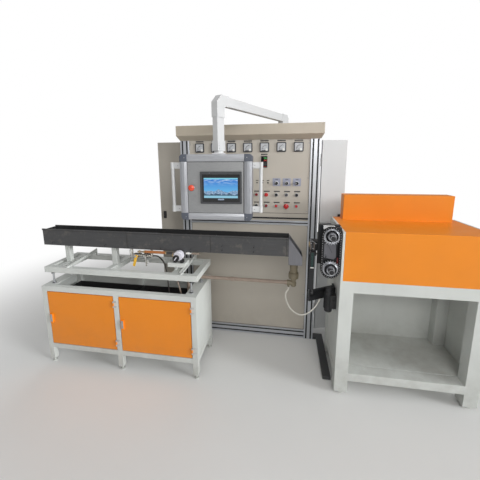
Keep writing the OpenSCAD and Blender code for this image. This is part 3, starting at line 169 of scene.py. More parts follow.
def brushed(name, colour, rough=0.35, along=(900, 900, 9), metal=1.0, lines=0.16, mottle=0.08, stain=0.0,
            stain_colour=(0.30, 0.27, 0.23)):
    """metal with fine lines that run along the axis with the small scale"""
    mat, tree, shader, coord = new_material(name)
    line = noise(tree, stretched(tree, coord, along), 1.0, 3.0, 0.6)
    cloud = noise(tree, coord, 5.0, 4.0, 0.55)
    tone = mixed(tree, remap(tree, line, 0.25, 0.75, 0.0, 1.0), rgba(colour, 1 - lines),
                 rgba(colour, 1 + lines * 0.6))
    tone = mixed(tree, remap(tree, cloud, 0.35, 0.7, 0.0, mottle * 3), tone, rgba(colour, 0.75))
    if stain:
        blot = remap(tree, noise(tree, coord, 17.0, 6.0, 0.65), 0.55, 0.72, 0.0, stain)
        tone = mixed(tree, blot, tone, rgba(stain_colour))
    shader.inputs["Metallic"].default_value = metal
    surfaced(tree, shader, tone, remap(tree, line, 0.2, 0.8, rough - 0.08, rough + 0.12), line, 0.00005, 0.5)
    return mat


def moulded(name, colour, rough=0.45, grain=0.00008, grain_scale=700.0, mottle=0.06, coat=0.0, wear=0.0,
            wear_colour=(0.4, 0.4, 0.4)):
    """moulded plastic or rubber: fine grain, faint cloud, light rubbed patches"""
    mat, tree, shader, coord = new_material(name)
    cloud = remap(tree, noise(tree, coord, 24.0, 4.0, 0.55), 0.3, 0.7, 0.0, 1.0)
    tone = mixed(tree, cloud, rgba(colour, 1 - mottle), rgba(colour, 1 + mottle))
    if wear:
        rub = remap(tree, noise(tree, coord, 60.0, 5.0, 0.7), 0.58, 0.75, 0.0, wear)
        tone = mixed(tree, rub, tone, rgba(wear_colour))
    sheen = remap(tree, noise(tree, coord, 60.0), 0.3, 0.7, rough - 0.05, rough + 0.08)
    surfaced(tree, shader, tone, sheen, noise(tree, coord, grain_scale, 2.0), grain, 0.5, coat, 0.08)
    return mat


cream = (0.515, 0.475, 0.415)
M = {
    "cabinet": paint("cabinet_paint", cream, 0.42, 0.035, coat=0.1, grime=0.35, reach=0.35, stain=0.06),
    # the left side door: the cabinet's cream paint darkened as painted shade, with floor grime and stains as dirt
    "left_door_shade": paint("left_door_painted_shade", tuple(0.74 * c for c in cream), 0.45, 0.05, grime=0.5, reach=0.6,
                         stain=0.1),
    "canopy": paint("canopy_paint", (0.50, 0.44, 0.355), 0.40, 0.05, coat=0.1, stain=0.10),
    "profile_z": brushed("profile_upright", (0.62, 0.64, 0.68), 0.36, (700, 700, 6), 0.75, 0.12, 0.05),
    "profile_x": brushed("profile_across", (0.62, 0.64, 0.68), 0.36, (6, 700, 700), 0.75, 0.12, 0.05),
    "brushed_plate": brushed("brushed_plate", (0.34, 0.345, 0.35), 0.40, (14, 700, 700), 0.55, 0.16, 0.14, stain=0.25,
                             stain_colour=(0.20, 0.20, 0.19)),
    "stainless": brushed("stainless", (0.115, 0.115, 0.118), 0.36, (7, 500, 500), 0.85, 0.22, 0.12, stain=0.3),
    "zinc": brushed("zinc", (0.50, 0.51, 0.53), 0.42, (60, 60, 60), 0.85, 0.18, 0.10, stain=0.12),
    "nickel": brushed("nickel", (0.62, 0.60, 0.56), 0.24, (200, 200, 200), 0.95, 0.08, 0.10),
    "brass": brushed("brass", (0.62, 0.47, 0.26), 0.30, (200, 200, 200), 0.95, 0.10, 0.10),
    "orange": paint("orange_paint", (0.84, 0.255, 0.008), 0.46, 0.05, coat=0.08, grime=0.30, reach=0.45, scuff=0.35,
                    dirt=(0.24, 0.15, 0.09)),
    "bench": paint("bench_paint", (0.63, 0.65, 0.625), 0.45, 0.07, coat=0.08, grime=0.55, reach=0.4, scuff=0.4,
                   stain=0.12),
    # the right side door: the cabinet paint made whiter and cooler as painted light
    "door": paint("door_paint", (0.60, 0.61, 0.615), 0.38, 0.03, 0.00006, coat=0.12, grime=0.2, reach=0.4),
    "arm": paint("arm_coat", (0.60, 0.605, 0.61), 0.45, 0.03, 0.00010, coat=0.12),
    "pump": paint("pump_paint", (0.70, 0.69, 0.75), 0.38, 0.06, 0.00010, coat=0.1, scuff=0.3),
    "dark_steel": paint("dark_steel", (0.055, 0.055, 0.058), 0.42, 0.12, 0.0001, scuff=0.25,
                        dirt=(0.18, 0.165, 0.15)),
    "black_steel": paint("black_steel", (0.014, 0.015, 0.017), 0.42, 0.15, 0.0001, scuff=0.2,
                         dirt=(0.07, 0.065, 0.06)),
    "bracket": paint("bracket_paint", (0.135, 0.135, 0.152), 0.4, 0.08, scuff=0.2),
    "plate": paint("plate_paint", (0.74, 0.72, 0.65), 0.45, 0.03),
    "black_plastic": moulded("black_plastic", (0.009, 0.009, 0.010), 0.42, coat=0.1),
    "meter_case": moulded("meter_case", (0.012, 0.012, 0.013), 0.40, coat=0.1),
    "red": moulded("red_plastic", (0.52, 0.020, 0.022), 0.22, 0.00003, coat=0.6),
    "dark_red": moulded("dark_red_plastic", (0.24, 0.018, 0.020), 0.26, 0.00003, coat=0.5),
    "corner": moulded("corner_plastic", (0.085, 0.095, 0.12), 0.45, 0.00012),
    "yellow": moulded("yellow_plastic", (0.88, 0.50, 0.04), 0.40, wear=0.25, wear_colour=(0.6, 0.45, 0.2)),
    "white_plastic": moulded("white_plastic", (0.78, 0.78, 0.75), 0.38, coat=0.1),
    "fitting": moulded("fitting_plastic", (0.19, 0.16, 0.105), 0.42, wear=0.3, wear_colour=(0.55, 0.5, 0.42)),
    "pipe": moulded("pipe_plastic", (0.30, 0.235, 0.19), 0.40, mottle=0.12, wear=0.2, wear_colour=(0.5, 0.42, 0.35)),
    "hose": moulded("hose_rubber", (0.035, 0.030, 0.028), 0.5, wear=0.25, wear_colour=(0.12, 0.10, 0.09)),
    "white_hose": moulded("white_hose", (0.76, 0.74, 0.68), 0.36, coat=0.2),
    "sprocket": brushed("sprocket_metal", (0.46, 0.47, 0.50), 0.28, (160, 160, 160), 1.0, 0.14, 0.16, stain=0.35,
                        stain_colour=(0.14, 0.12, 0.10)),
    "chain": brushed("chain_steel", (0.020, 0.020, 0.022), 0.36, (220, 220, 220), 0.6, 0.25, 0.2, stain=0.4,
                     stain_colour=(0.03, 0.025, 0.02)),
    # near-black finish for the insides of slots, holes and openings: painted shade
    "slot_dark": moulded("slot_shadow", (0.012, 0.012, 0.014), 0.6),
    "panel_frame": brushed("panel_frame", (0.44, 0.45, 0.48), 0.36, (300, 300, 9), 0.7, 0.12, 0.05),
    "hinge": brushed("hinge_metal", (0.60, 0.60, 0.60), 0.36, (90, 90, 90), 0.85, 0.12, 0.08),
    "meter_rim": moulded("meter_rim", (0.10, 0.10, 0.11), 0.35),
    "meter_face": moulded("meter_face", (0.52, 0.535, 0.56), 0.45, 0.00001, mottle=0.05, coat=0.5),
    "ink": moulded("printed_ink", (0.035, 0.035, 0.04), 0.5),
    "label": moulded("label_strip", (0.011, 0.011, 0.012), 0.4, 0.00002),
    "label_mark": moulded("label_mark", (0.16, 0.155, 0.15), 0.5, 0.00001, mottle=0.5),
    "dark_glass": moulded("dark_glass", (0.006, 0.006, 0.007), 0.10, 0.0, coat=0.6),
    "dark_grey_plastic": moulded("dark_grey_plastic", (0.06, 0.06, 0.065), 0.4, coat=0.2),
    "knob_plate": moulded("knob_plate", (0.34, 0.355, 0.45), 0.55, 0.00002, mottle=0.08, coat=0.2),
    "chrome": brushed("chrome_collar", (0.50, 0.50, 0.51), 0.45, (200, 200, 200), 0.35, 0.05, 0.04),
    "panel_frame_x": brushed("panel_frame_across", (0.50, 0.51, 0.54), 0.36, (9, 300, 300), 0.7, 0.12, 0.05),
    "pin": brushed("chain_pins", (0.55, 0.55, 0.56), 0.3, (200, 200, 200), 0.95, 0.1, 0.1),
    # dark metal for the sprocket recess and the shaft: painted shade
    "sprocket_shade": brushed("sprocket_painted_shade", (0.10, 0.10, 0.11), 0.35, (200, 200, 200), 0.85, 0.3, 0.2),
    "plate_white": paint("bright_plate", (0.78, 0.78, 0.77), 0.35, 0.04),
    "bar_white": paint("bar_paint", (0.76, 0.77, 0.75), 0.35, 0.04),
    "slot_green": moulded("slot_green", (0.012, 0.045, 0.040), 0.3),
    "rust_steel": paint("rusty_steel", (0.20, 0.165, 0.145), 0.55, 0.25, 0.0003, 160.0, scuff=0.5,
                        dirt=(0.22, 0.13, 0.08)),
    "rust_pipe": paint("orange_pipe", (0.42, 0.15, 0.045), 0.5, 0.15, 0.0002, 200.0, scuff=0.5,
                       dirt=(0.16, 0.09, 0.05)),
    "water": moulded("still_water", (0.035, 0.038, 0.038), 0.08, 0.0001, 14.0, 0.2),
    "screen_bezel": moulded("screen_bezel", (0.045, 0.047, 0.052), 0.40, coat=0.15),
    "tag_metal": brushed("tag_metal", (0.35, 0.42, 0.55), 0.35, (300, 300, 300), 0.5, 0.08, 0.04),
    "red_orange": moulded("stop_plastic", (0.68, 0.062, 0.020), 0.24, 0.00003, coat=0.5),
    "seam": moulded("gasket", (0.030, 0.028, 0.026), 0.6),
    "duct": moulded("duct_plastic", (0.42, 0.43, 0.44), 0.45),
    "galvanised": brushed("drain_sheet", (0.24, 0.24, 0.26), 0.36, (500, 500, 8), 0.85, 0.15, 0.1, stain=0.25),
}


def lit(name, colour, strength):
    """a lit segment or lamp, a little uneven as through a diffuser"""
    mat, tree, shader, coord = new_material(name)
    glow = mixed(tree, noise(tree, coord, 160.0, 2.0), rgba(colour, 0.8), rgba(colour, 1.1))
    fill(tree, shader, {"Emission Color": glow, "Emission Strength": strength, "Base Color": rgba(colour, 0.3),
                        "Roughness": 0.35})
    return mat


M["green_light"] = lit("green_segment", (0.12, 0.75, 0.16), 1.0)
M["red_light"] = lit("red_segment", (0.85, 0.07, 0.05), 0.9)


# ------------ making pieces
LARGE_FACES_LEAD = 90  # how far the large faces decide the shading at a rounded edge, out of 100


def as_mesh(name, bm):
    mesh = bpy.data.meshes.new(name)
    bm.to_mesh(mesh)
    bm.free()
    return mesh


def applied(obj):
    """the mesh of an object with its modifiers applied"""
    graph = bpy.context.evaluated_depsgraph_get()
    return bpy.data.meshes.new_from_object(obj.evaluated_get(graph), preserve_all_data_layers=True, depsgraph=graph)


def mesh_object(name, bm, materials, node, whole=False, crease=32.0):
    """a finished piece at the origin, on the body of its node and in the node's place if it is whole; it is smooth
    apart from its sharp edges, and its flat sides are shaded flat"""
    body, slot, stands_for = body_of_node[node], slot_of_node[node], (node,) if whole else ()
    mesh = as_mesh(name, bm)
    for mat in materials:
        mesh.materials.append(mat)
    mesh.polygons.foreach_set("use_smooth", [True] * len(mesh.polygons))
    mesh.set_sharp_from_angle(angle=math.radians(crease))
    obj = linked(name, mesh)
    flat = obj.modifiers.new("flat_sides", "WEIGHTED_NORMAL")
    flat.keep_sharp, flat.weight = True, LARGE_FACES_LEAD
    shaded = applied(obj)
    obj.modifiers.remove(flat)
    obj.data = shaded
    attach(obj, body)
    if stands_for:
        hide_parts(*stands_for)
    return obj


MERGE_DISTANCE = 2e-6
FLAT_DEGREES = 0.8
WIDTH_SHARES = (1.0, 0.6, 0.3, 0.12, 0.0)
RIM_WIDTHS = 2.2
AREA_SLACK = 0.006


def shown_area(bm):
    """the area of the triangles that a mesh is drawn with"""
    return sum(area_tri(*(loop.vert.co for loop in corner)) for corner in bm.calc_loop_triangles())


def cad_mesh(node):
    """the solid of a node as a clean mesh, with one face for each flat side"""
    bm = bmesh.new()
    bm.from_mesh(frame["nodes"][node].data)
    bmesh.ops.remove_doubles(bm, verts=bm.verts, dist=MERGE_DISTANCE)
    bmesh.ops.dissolve_limit(bm, angle_limit=math.radians(FLAT_DEGREES), verts=bm.verts, edges=bm.edges)
    return bm


def sharp_edges(bm, limit):
    """the edges between two faces that meet at more than a limit in degrees"""
    return [e for e in bm.edges if len(e.link_faces) == 2 and e.calc_face_angle(0.0) > math.radians(limit)]


def bevelled(bm, edges, offset, steps, **options):
    bmesh.ops.bevel(bm, geom=edges, offset=offset, segments=steps, profile=0.5, affect="EDGES", clamp_overlap=True,
                    **options)


def softened(node, finishes, width, steps, limit=28.0, inner=None, rims=False):
    """the CAD solid with its edges rounded as on the real piece, the second finish on its inner faces; the narrow
    edges of thin sheet stay square with rims, and a rounding too wide for a thin wall is made smaller"""
    for share in WIDTH_SHARES:
        bm = cad_mesh(node)
        offset = width * MM * share
        if offset:
            edges = sharp_edges(bm, limit)
            if rims:
                edges = [e for e in edges if all(2 * f.calc_area() > RIM_WIDTHS * offset * f.calc_perimeter()
                                                 for f in e.link_faces)]
            bevelled(bm, edges, offset, steps, loop_slide=True)
        flat = sum(f.calc_area() for f in bm.faces)
        if not offset or abs(shown_area(bm) - flat) < AREA_SLACK * flat:
            break
        bm.free()
    for face in inner(bm) if inner else ():
        face.material_index = 1
    mesh_object(node + "_finished", bm, [M[f] for f in finishes.split()], node, True)


# ------------ shapes, in millimetres
def block(lo, hi, edge=0.8, steps=2):
    """a box between two corners, its edges rounded"""
    bm = bmesh.new()
    bmesh.ops.create_cube(bm, size=1.0)
    for v in bm.verts:
        v.co = Vector([lo[i] + (v.co[i] + 0.5) * (hi[i] - lo[i]) for i in range(3)])
    if edge:
        bevelled(bm, list(bm.edges), edge, steps)
    return bm


def polar(radius, turn):
    return radius * math.cos(turn), radius * math.sin(turn)


def turned(profile, sides):
    """a solid of revolution about Z through (radius, height) pairs"""
    bm = bmesh.new()
    rings = []
    for r, h in profile:
        if r < 1e-6:
            rings.append([bm.verts.new((0, 0, h))])
        else:
            rings.append([bm.verts.new((*polar(r, math.tau * k / sides), h)) for k in range(sides)])
    for low, high in zip(rings, rings[1:]):
        for k in range(sides):
            n = (k + 1) % sides
            corners = [low[k % len(low)], low[n % len(low)], high[n % len(high)], high[k % len(high)]]
            bm.faces.new([c for i, c in enumerate(corners) if c not in corners[:i]])
    for ring in (rings[0], rings[-1]):
        if len(ring) > 1:
            bm.faces.new(ring)
    bmesh.ops.recalc_face_normals(bm, faces=bm.faces)
    return bm


def prism(outline, low, high, edge=0.0, steps=2, sharp=28.0):
    """an outline in X and Y raised along Z"""
    bm = bmesh.new()
    under = [bm.verts.new((x, y, low)) for x, y in outline]
    over = [bm.verts.new((x, y, high)) for x, y in outline]
    bm.faces.new(under)
    bm.faces.new(over)
    for k in range(len(outline)):
        n = (k + 1) % len(outline)
        bm.faces.new((under[k], under[n], over[n], over[k]))
    bmesh.ops.recalc_face_normals(bm, faces=bm.faces)
    if edge:
        bevelled(bm, sharp_edges(bm, sharp), edge, steps)
    return bm


def rounded(width, height, radius, steps=5):
    """outline of a rectangle with round corners about the origin"""
    points = []
    for cx, cy, start in ((1, 1, 0), (-1, 1, 90), (-1, -1, 180), (1, -1, 270)):
        for k in range(steps + 1):
            x, y = polar(radius, math.radians(start + 90 * k / steps))
            points.append((cx * (width / 2 - radius) + x, cy * (height / 2 - radius) + y))
    return points


def smooth_path(points, steps=6):
    """points close together on one smooth line through the given ones"""
    p = [Vector(q) for q in points]
    p = [2 * p[0] - p[1]] + p + [2 * p[-1] - p[-2]]
    path = []
    for a, b, c, d in zip(p, p[1:], p[2:], p[3:]):
        for k in range(steps):
            t = k / steps
            path.append(0.5 * ((2 * b) + (c - a) * t + (2 * a - 5 * b + 4 * c - d) * t * t
                               + (3 * b - a - 3 * c + d) * t * t * t))
    path.append(p[-2])
    return path


def tube(path, radius, sides):
    """a round tube swept along a path without twist, closed at both ends"""
    bm = bmesh.new()
    path = [Vector(q) for q in path]
    ahead = [(path[min(i + 1, len(path) - 1)] - path[max(i - 1, 0)]).normalized() for i in range(len(path))]
    side = ahead[0].orthogonal().normalized()
    rings = []
    for place, way in zip(path, ahead):
        side = (side - way * side.dot(way)).normalized()
        other = way.cross(side)
        circle = [polar(radius, math.tau * k / sides) for k in range(sides)]
        rings.append([bm.verts.new(place + u * side + v * other) for u, v in circle])
    for low, high in zip(rings, rings[1:]):
        for k in range(sides):
            n = (k + 1) % sides
            bm.faces.new((low[k], low[n], high[n], high[k]))
    bm.faces.new(rings[0])
    bm.faces.new(rings[-1])
    bmesh.ops.recalc_face_normals(bm, faces=bm.faces)
    return bm


def aimed(direction, place):
    """turns +Z towards a direction, then moves to a place"""
    turn = Vector((0, 0, 1)).rotation_difference(Vector(direction)).to_matrix().to_4x4()
    return Matrix.Translation(place) @ turn


OUT, REAR, RIGHT, LEFT, UP, DOWN = (0, -1, 0), (0, 1, 0), (1, 0, 0), (-1, 0, 0), (0, 0, 1), (0, 0, -1)
UPRIGHT = Matrix(((1, 0, 0, 0), (0, 0, -1, 0), (0, 1, 0, 0), (0, 0, 0, 1)))


def pour(part, bm):
    """adds the faces of a part to a mesh and frees the part"""
    work = bpy.data.meshes.new("work")
    part.to_mesh(work)
    part.free()
    bm.from_mesh(work)
    bpy.data.meshes.remove(work)


class Piece:
    """a piece of several parts, drawn in millimetres and finished at the origin"""

    def __init__(self):
        self.bm = bmesh.new()
        self.finishes = []

    def add(self, part, finish, place=None):
        if finish not in self.finishes:
            self.finishes.append(finish)
        for face in part.faces:
            face.material_index = self.finishes.index(finish)
        if place is not None:
            part.transform(place)
        pour(part, self.bm)

    def lathe(self, *rows):
        """turned parts, each given by its finish, place, number of sides and profile"""
        for finish, place, sides, *profile in rows:
            self.add(turned(profile, sides), finish, place)

    def done(self, name, node, whole=False, crease=32.0, place=None):
        if place is not None:
            self.bm.transform(place)
        self.bm.transform(Matrix.Scale(MM, 4))
        mesh_object(name, self.bm, [M[f] for f in self.finishes], node, whole, crease)


def loose_islands(bm):
    """the separate solids of a mesh, as lists of faces"""
    left = set(bm.faces)
    while left:
        seed = left.pop()
        island, edge = [seed], [seed]
        while edge:
            for e in edge.pop().edges:
                for f in e.link_faces:
                    if f in left:
                        left.remove(f)
                        island.append(f)
                        edge.append(f)
        yield island


SLOT_SKIN = 0.0012


def in_slots(bm):
    """faces that lie inside the two short sides of their own bar"""
    found = []
    for island in loose_islands(bm):
        points = [v.co for f in island for v in f.verts]
        low = [min(p[i] for p in points) for i in range(3)]
        high = [max(p[i] for p in points) for i in range(3)]
        along = max(range(3), key=lambda i: high[i] - low[i])
        short = [i for i in range(3) if i != along]
        for f in island:
            c = f.calc_center_median()
            if abs(f.normal[along]) < 0.5 and all(low[i] + SLOT_SKIN < c[i] < high[i] - SLOT_SKIN for i in short):
                found.append(f)
    return found


# ------------ repeated fasteners
def node_tree(name, sockets):
    tree = bpy.data.node_groups.new(name, "GeometryNodeTree")
    tree.interface.new_socket("Geometry", in_out="INPUT", socket_type="NodeSocketGeometry")
    for label, kind, value in sockets:
        s = tree.interface.new_socket(label, in_out="INPUT", socket_type="NodeSocket" + kind)
        if value is not None:
            s.default_value = value
    tree.interface.new_socket("Geometry", in_out="OUTPUT", socket_type="NodeSocketGeometry")
    return tree, tree.nodes.new("NodeGroupInput").outputs, tree.nodes.new("NodeGroupOutput").inputs


def named(tree, label, kind):
    return put(tree, "GeometryNodeInputNamedAttribute", _data_type=kind, Name=label).outputs[0]


def finished_tree(tree, shapes, flag, finish, flagged_finish, out):
    """makes the instances real and gives them a finish, and another one where the flag is set"""
    real = put(tree, "GeometryNodeRealizeInstances", Geometry=shapes).outputs[0]
    first = put(tree, "GeometryNodeSetMaterial", Geometry=real, Material=finish).outputs[0]
    second = put(tree, "GeometryNodeSetMaterial", Geometry=first, Selection=named(tree, flag, "BOOLEAN"),
                 Material=flagged_finish).outputs[0]
    tree.links.new(second, out["Geometry"])
    return tree


def fastener_tree():
    """a low round head on every point with a dark hexagon on it as painted shade of the socket, turned to the point's
    facing
    """
    tree, given, out = node_tree("fasteners", [
        ("Head diameter", "Float", 0.008), ("Head height", "Float", 0.003), ("Sides", "Int", 12),
        ("Head finish", "Material", None), ("Socket shade finish", "Material", None)])
    half = calc(tree, "MULTIPLY", given["Head diameter"], 0.5)
    top = calc(tree, "MULTIPLY", given["Head diameter"], 0.41)
    socket = calc(tree, "MULTIPLY", given["Head diameter"], 0.24)
    head = put(tree, "GeometryNodeMeshCone", **{"Vertices": given["Sides"], "Radius Top": top,
                                                "Radius Bottom": half, "Depth": given["Head height"]}).outputs[0]
    tall = calc(tree, "ADD", given["Head height"], 0.00012)
    hexagon = put(tree, "GeometryNodeMeshCylinder", Vertices=6, Radius=socket, Depth=tall).outputs[0]
    lifted = calc(tree, "MULTIPLY", tall, 0.5)
    rise = put(tree, "ShaderNodeCombineXYZ", Z=lifted).outputs[0]
    hexagon = put(tree, "GeometryNodeTransform", Geometry=hexagon, Translation=rise).outputs[0]
    # the hexagon stands a little proud of the head; its dark finish is painted shade of the socket recess
    marked = put(tree, "GeometryNodeStoreNamedAttribute", _data_type="BOOLEAN", _domain="FACE",
                 Geometry=hexagon, Name="recess", Value=True).outputs[0]
    joined = tree.nodes.new("GeometryNodeJoinGeometry")
    tree.links.new(marked, joined.inputs[0])
    tree.links.new(head, joined.inputs[0])
    turn = put(tree, "FunctionNodeAlignRotationToVector", _axis="Z", Vector=named(tree, "facing", "FLOAT_VECTOR"))
    placed = put(tree, "GeometryNodeInstanceOnPoints", Points=given["Geometry"], Instance=joined.outputs[0],
                 Rotation=turn.outputs[0]).outputs[0]
    return finished_tree(tree, placed, "recess", given["Head finish"], given["Socket shade finish"], out)


def grown(name, node, tree, points, facings, values, whole=False):
    """points in millimetres, each with its facing, run through a node tree and kept as one plain mesh"""
    mesh = bpy.data.meshes.new(name + "_points")
    mesh.from_pydata([[c * MM for c in p] for p in points], [], [])
    layer = mesh.attributes.new("facing", "FLOAT_VECTOR", "POINT")
    layer.data.foreach_set("vector", [c for v in facings for c in v])
    seedling = linked(name + "_points", mesh)
    modifier = seedling.modifiers.new("grow", "NODES")
    modifier.node_group = tree
    for item in tree.interface.items_tree:
        if item.item_type == "SOCKET" and item.in_out == "INPUT" and item.name in values:
            modifier[item.identifier] = values[item.name]
    bpy.context.evaluated_depsgraph_get().update()
    result = applied(seedling)
    bpy.data.objects.remove(seedling)
    bm = bmesh.new()
    bm.from_mesh(result)
    mesh_object(name, bm, list(result.materials), node, whole)


FASTENERS = fastener_tree()


def fasteners(name, rows, node, size=8.0, height=3.0, head="zinc", sides=12):
    """heads on rows of (point, facing)"""
    grown(name, node, FASTENERS, [p for p, f in rows], [f for p, f in rows],
          {"Head diameter": size * MM, "Head height": height * MM, "Sides": sides, "Head finish": M[head],
           "Socket shade finish": M["black_plastic"]})


def facing(way, xs, ys, zs):
    """rows for fasteners: every point that the three lists of coordinates give, all facing one way"""
    return [((x, y, z), way) for x in xs for y in ys for z in zs]


def spread(a, b, count):
    """evenly spaced numbers from a to b"""
    return [a + (b - a) * k / (count - 1) for k in range(count)]


# ------------ cords
def path_length(path):
    return sum((b - a).length for a, b in zip(path, path[1:]))


def hose(name, node, points, radius, finish):
    path = smooth_path([[c * MM for c in p] for p in points], 5)
    bm = tube(path, radius * MM, 16)
    piece = mesh_object(name, bm, [M[finish]], node, True)
    tuple(path[0])
    round(path_length(path), 4)
    [tuple(p) for p in path]


LINE_Y = -725
DRAIN_ROUTE = [(362, 701), (360, 680), (345, 655), (343, 625), (350, 590), (363, 558), (380, 530), (402, 508),
               (428, 492), (455, 485), (482, 488), (505, 500), (528, 520), (550, 545), (568, 572), (582, 600),
               (590, 622), (590, 636)]
hose("drain_hose_tube", "drain_hose", [(x, LINE_Y, z) for x, z in DRAIN_ROUTE], 5, "white_hose")

VALVE_AXIS = (-674.5, -760, 898)
FEED_ROUTE = [(0, 0, 0), (20, -1, 1), (45, -6, -2), (70, -16, -14), (94, -28, -34), (112, -38, -62), (124, -46, -94),
              (131, -51, -128), (135, -53, -168), (137, -53, -208), (138, -52, -248), (138, -50, -286),
              (138, -48, -328), (138, -46, -368), (138, -45, -408)]
hose("feed_hose_tube", "feed_hose", [[VALVE_AXIS[i] + q[i] for i in range(3)] for q in FEED_ROUTE], 5, "hose")


# ------------ the CAD solids with finished edges
# the faces inside the slots of the bars get the near-black finish as painted shade of the slots
for bars, finish in (("cabinet_posts", "profile_z"), ("cabinet_rails", "profile_x")):
    softened(bars, finish + " slot_dark", 0.8, 1, inner=in_slots)
for finish, rounding, nodes in (
        ("canopy", (3.0, 3), "canopy"), ("cabinet", (1.6, 2), "front_panels rear_panel side_panels"),
        ("zinc", (1.2, 1), "floor_pan"), ("plate", (1.0, 1), "mounting_plate"),
        ("hinge", (0.8, 1, 40), "door_hinges"), ("black_plastic", (3.0, 3), "left_door_lock right_door_lock"),
        ("arm", (2.0, 2, 40), "arm_base"), ("arm", (3.5, 3), "arm_beam"), ("arm", (2.5, 3, 60), "swivel_coupling"),
        ("arm", (1.5, 2, 40), "panel_flange"), ("corner", (3.5, 3), "panel_corners"),
        ("brushed_plate", (0.4, 1, 40), "panel_plate"), ("brushed_plate", (1.5, 2), "panel_back"),
        ("bench", (2.2, 2), "bench_frame"), ("bench", (1.0, 1), "bench_panels haul_panels"),
        ("hinge", (0.6, 1, 40), "bench_hinges"), ("orange", (2.2, 3), "bench_door_right bench_door_left"),
        ("zinc", (0.8, 1, 35), "levelling_studs"), ("bench", (2.0, 2), "lift_frame trough_stands"),
        ("stainless", (1.2, 2), "trough"), ("nickel", (0.8, 2, 40), "valve_manifold"),
        ("yellow", (1.2, 2, 40), "valve_lever"), ("pipe", (0.8, 2, 40), "return_pipe"),
        ("bench", (2.5, 2), "haul_frame"), ("orange", (2.0, 3), "haul_covers"),
        ("black_steel", (2.0, 2), "drive_housing"), ("bracket", (1.0, 2), "drive_bracket"),
        ("black_steel", (1.5, 2), "line_guide"), ("dark_steel", (3.0, 3), "cable_cover"),
        ("sprocket", (0.0, 1), "drive_sprockets")):
    for solid in nodes.split():
        softened(solid, finish, *rounding)
# the left door takes the darkened paint as painted shade, the right door the whitened paint as painted light
for finish, rounding, solid in (
        ("left_door_shade", (1.6, 2), "left_side_door"), ("door", (1.6, 2), "right_side_door"),
        ("arm", (5.0, 4), "arm_elbow"), ("arm", (4.0, 3), "drop_tube"),
        ("stainless", (1.5, 2), "water_tank"), ("bench", (1.5, 2), "pump_plate")):
    softened(solid, finish, *rounding, rims=True)


# ------------ instruments on the cabinet front
PANEL_Y = -284
METER_X = [-423 + 141 * i for i in range(7)]
METER_Z = 1731
DIAL_START, DIAL_SWEEP = 98, 74
NEEDLE_LIFT = (4, 0, 9, 2, 6, 0, 12)
KNOB_TURN = (60, 35, 80)
BUTTON_X = [76, 161.5, 247, 332.5, 418]
ROW_HIGH, ROW_LOW, KNOB_Z = 1330, 1234, 1439
DISPLAY_X, DISPLAY_Z = 140.4, 1610


def on_front(x, z):
    """a place on the front sheet of the cabinet, +Z pointing out of the sheet"""
    return aimed(OUT, (x, PANEL_Y, z))


def ammeters():
    m = Piece()
    for n, x in enumerate(METER_X):
        here = on_front(x, METER_Z)
        m.add(prism(rounded(80, 80, 10), 0, 9, 1.6, 3), "meter_case", here)
        m.add(prism(rounded(70, 70, 7), 8.95, 9.25), "meter_rim", here)
        m.add(prism(rounded(61, 61, 5), 9.2, 9.45), "meter_face", here)
        m.lathe(("black_plastic", here, 40, (31, -45), (31, -1), (31, 0)))
        pivot = Vector((19, -21, 0))
        for k in range(13):
            a = math.radians(DIAL_START + DIAL_SWEEP * k / 12)
            long = 8 if k % 3 == 0 else 4
            m.add(block((-0.8, 39.5 - long, 9.4), (0.8, 39.5, 9.7), 0), "ink", here @ at(*pivot) @ spun(a - QUARTER))
        arc = [pivot + Vector((*polar(41, math.radians(DIAL_START + t)), 9.5)) for t in range(0, DIAL_SWEEP + 2, 5)]
        m.add(tube(arc, 0.9, 6), "ink", here)
        m.add(block((-24, -31, 9.4), (10, -24, 9.7), 0.1, 1), "ink", here)
        a = math.radians(168 - NEEDLE_LIFT[n])
        m.add(block((-0.6, 0, 9.9), (0.6, 40, 10.4), 0.1, 1), "ink", here @ at(*pivot) @ spun(a - QUARTER))
        m.lathe(("white_plastic", here @ at(18, -20), 28, (9.5, 9.3), (9.5, 10.6), (8.4, 11.4), (0, 11.6)))
    m.done("ammeter_row", "ammeters", True)


def label_plates():
    m = Piece()
    wide = [(x, 1783.5, 68, 9.5) for x in METER_X] + [(DISPLAY_X, 1671, 54, 9.5)]
    small = [(x + 4, z + 29.5, 50, 9.5) for x in BUTTON_X for z in (ROW_HIGH, ROW_LOW)]
    dots = [(81 + i * 47, KNOB_Z + 13, 22, 6.5) for i in range(3)]
    for x, z, w, h in wide + small + dots:
        m.add(prism(rounded(w, h, 1.5, 3), 0, 0.9, 0.25, 1), "label", on_front(x, z))
        m.add(prism(rounded(w - 9, h * 0.22, 0.6, 2), 0.85, 1.0), "label_mark", on_front(x, z))
    m.done("label_strips", "front_panels")


def digit(m, x, z, w, h, segments, finish, place):
    """a seven-segment figure made of short bars"""
    t = w * 0.2
    bars = {"a": (0, h / 2, 0), "g": (0, 0, 0), "d": (0, -h / 2, 0), "f": (-w / 2, h / 4, 1), "b": (w / 2, h / 4, 1),
            "e": (-w / 2, -h / 4, 1), "c": (w / 2, -h / 4, 1)}
    for key in segments:
        bx, bz, upright = bars[key]
        dx, dz = (t / 2, h / 4 - t / 4) if upright else (w / 2 - t / 4, t / 2)
        m.add(block((x + bx - dx, z + bz - dz, 8.1), (x + bx + dx, z + bz + dz, 8.6), 0.15, 1), finish, place)


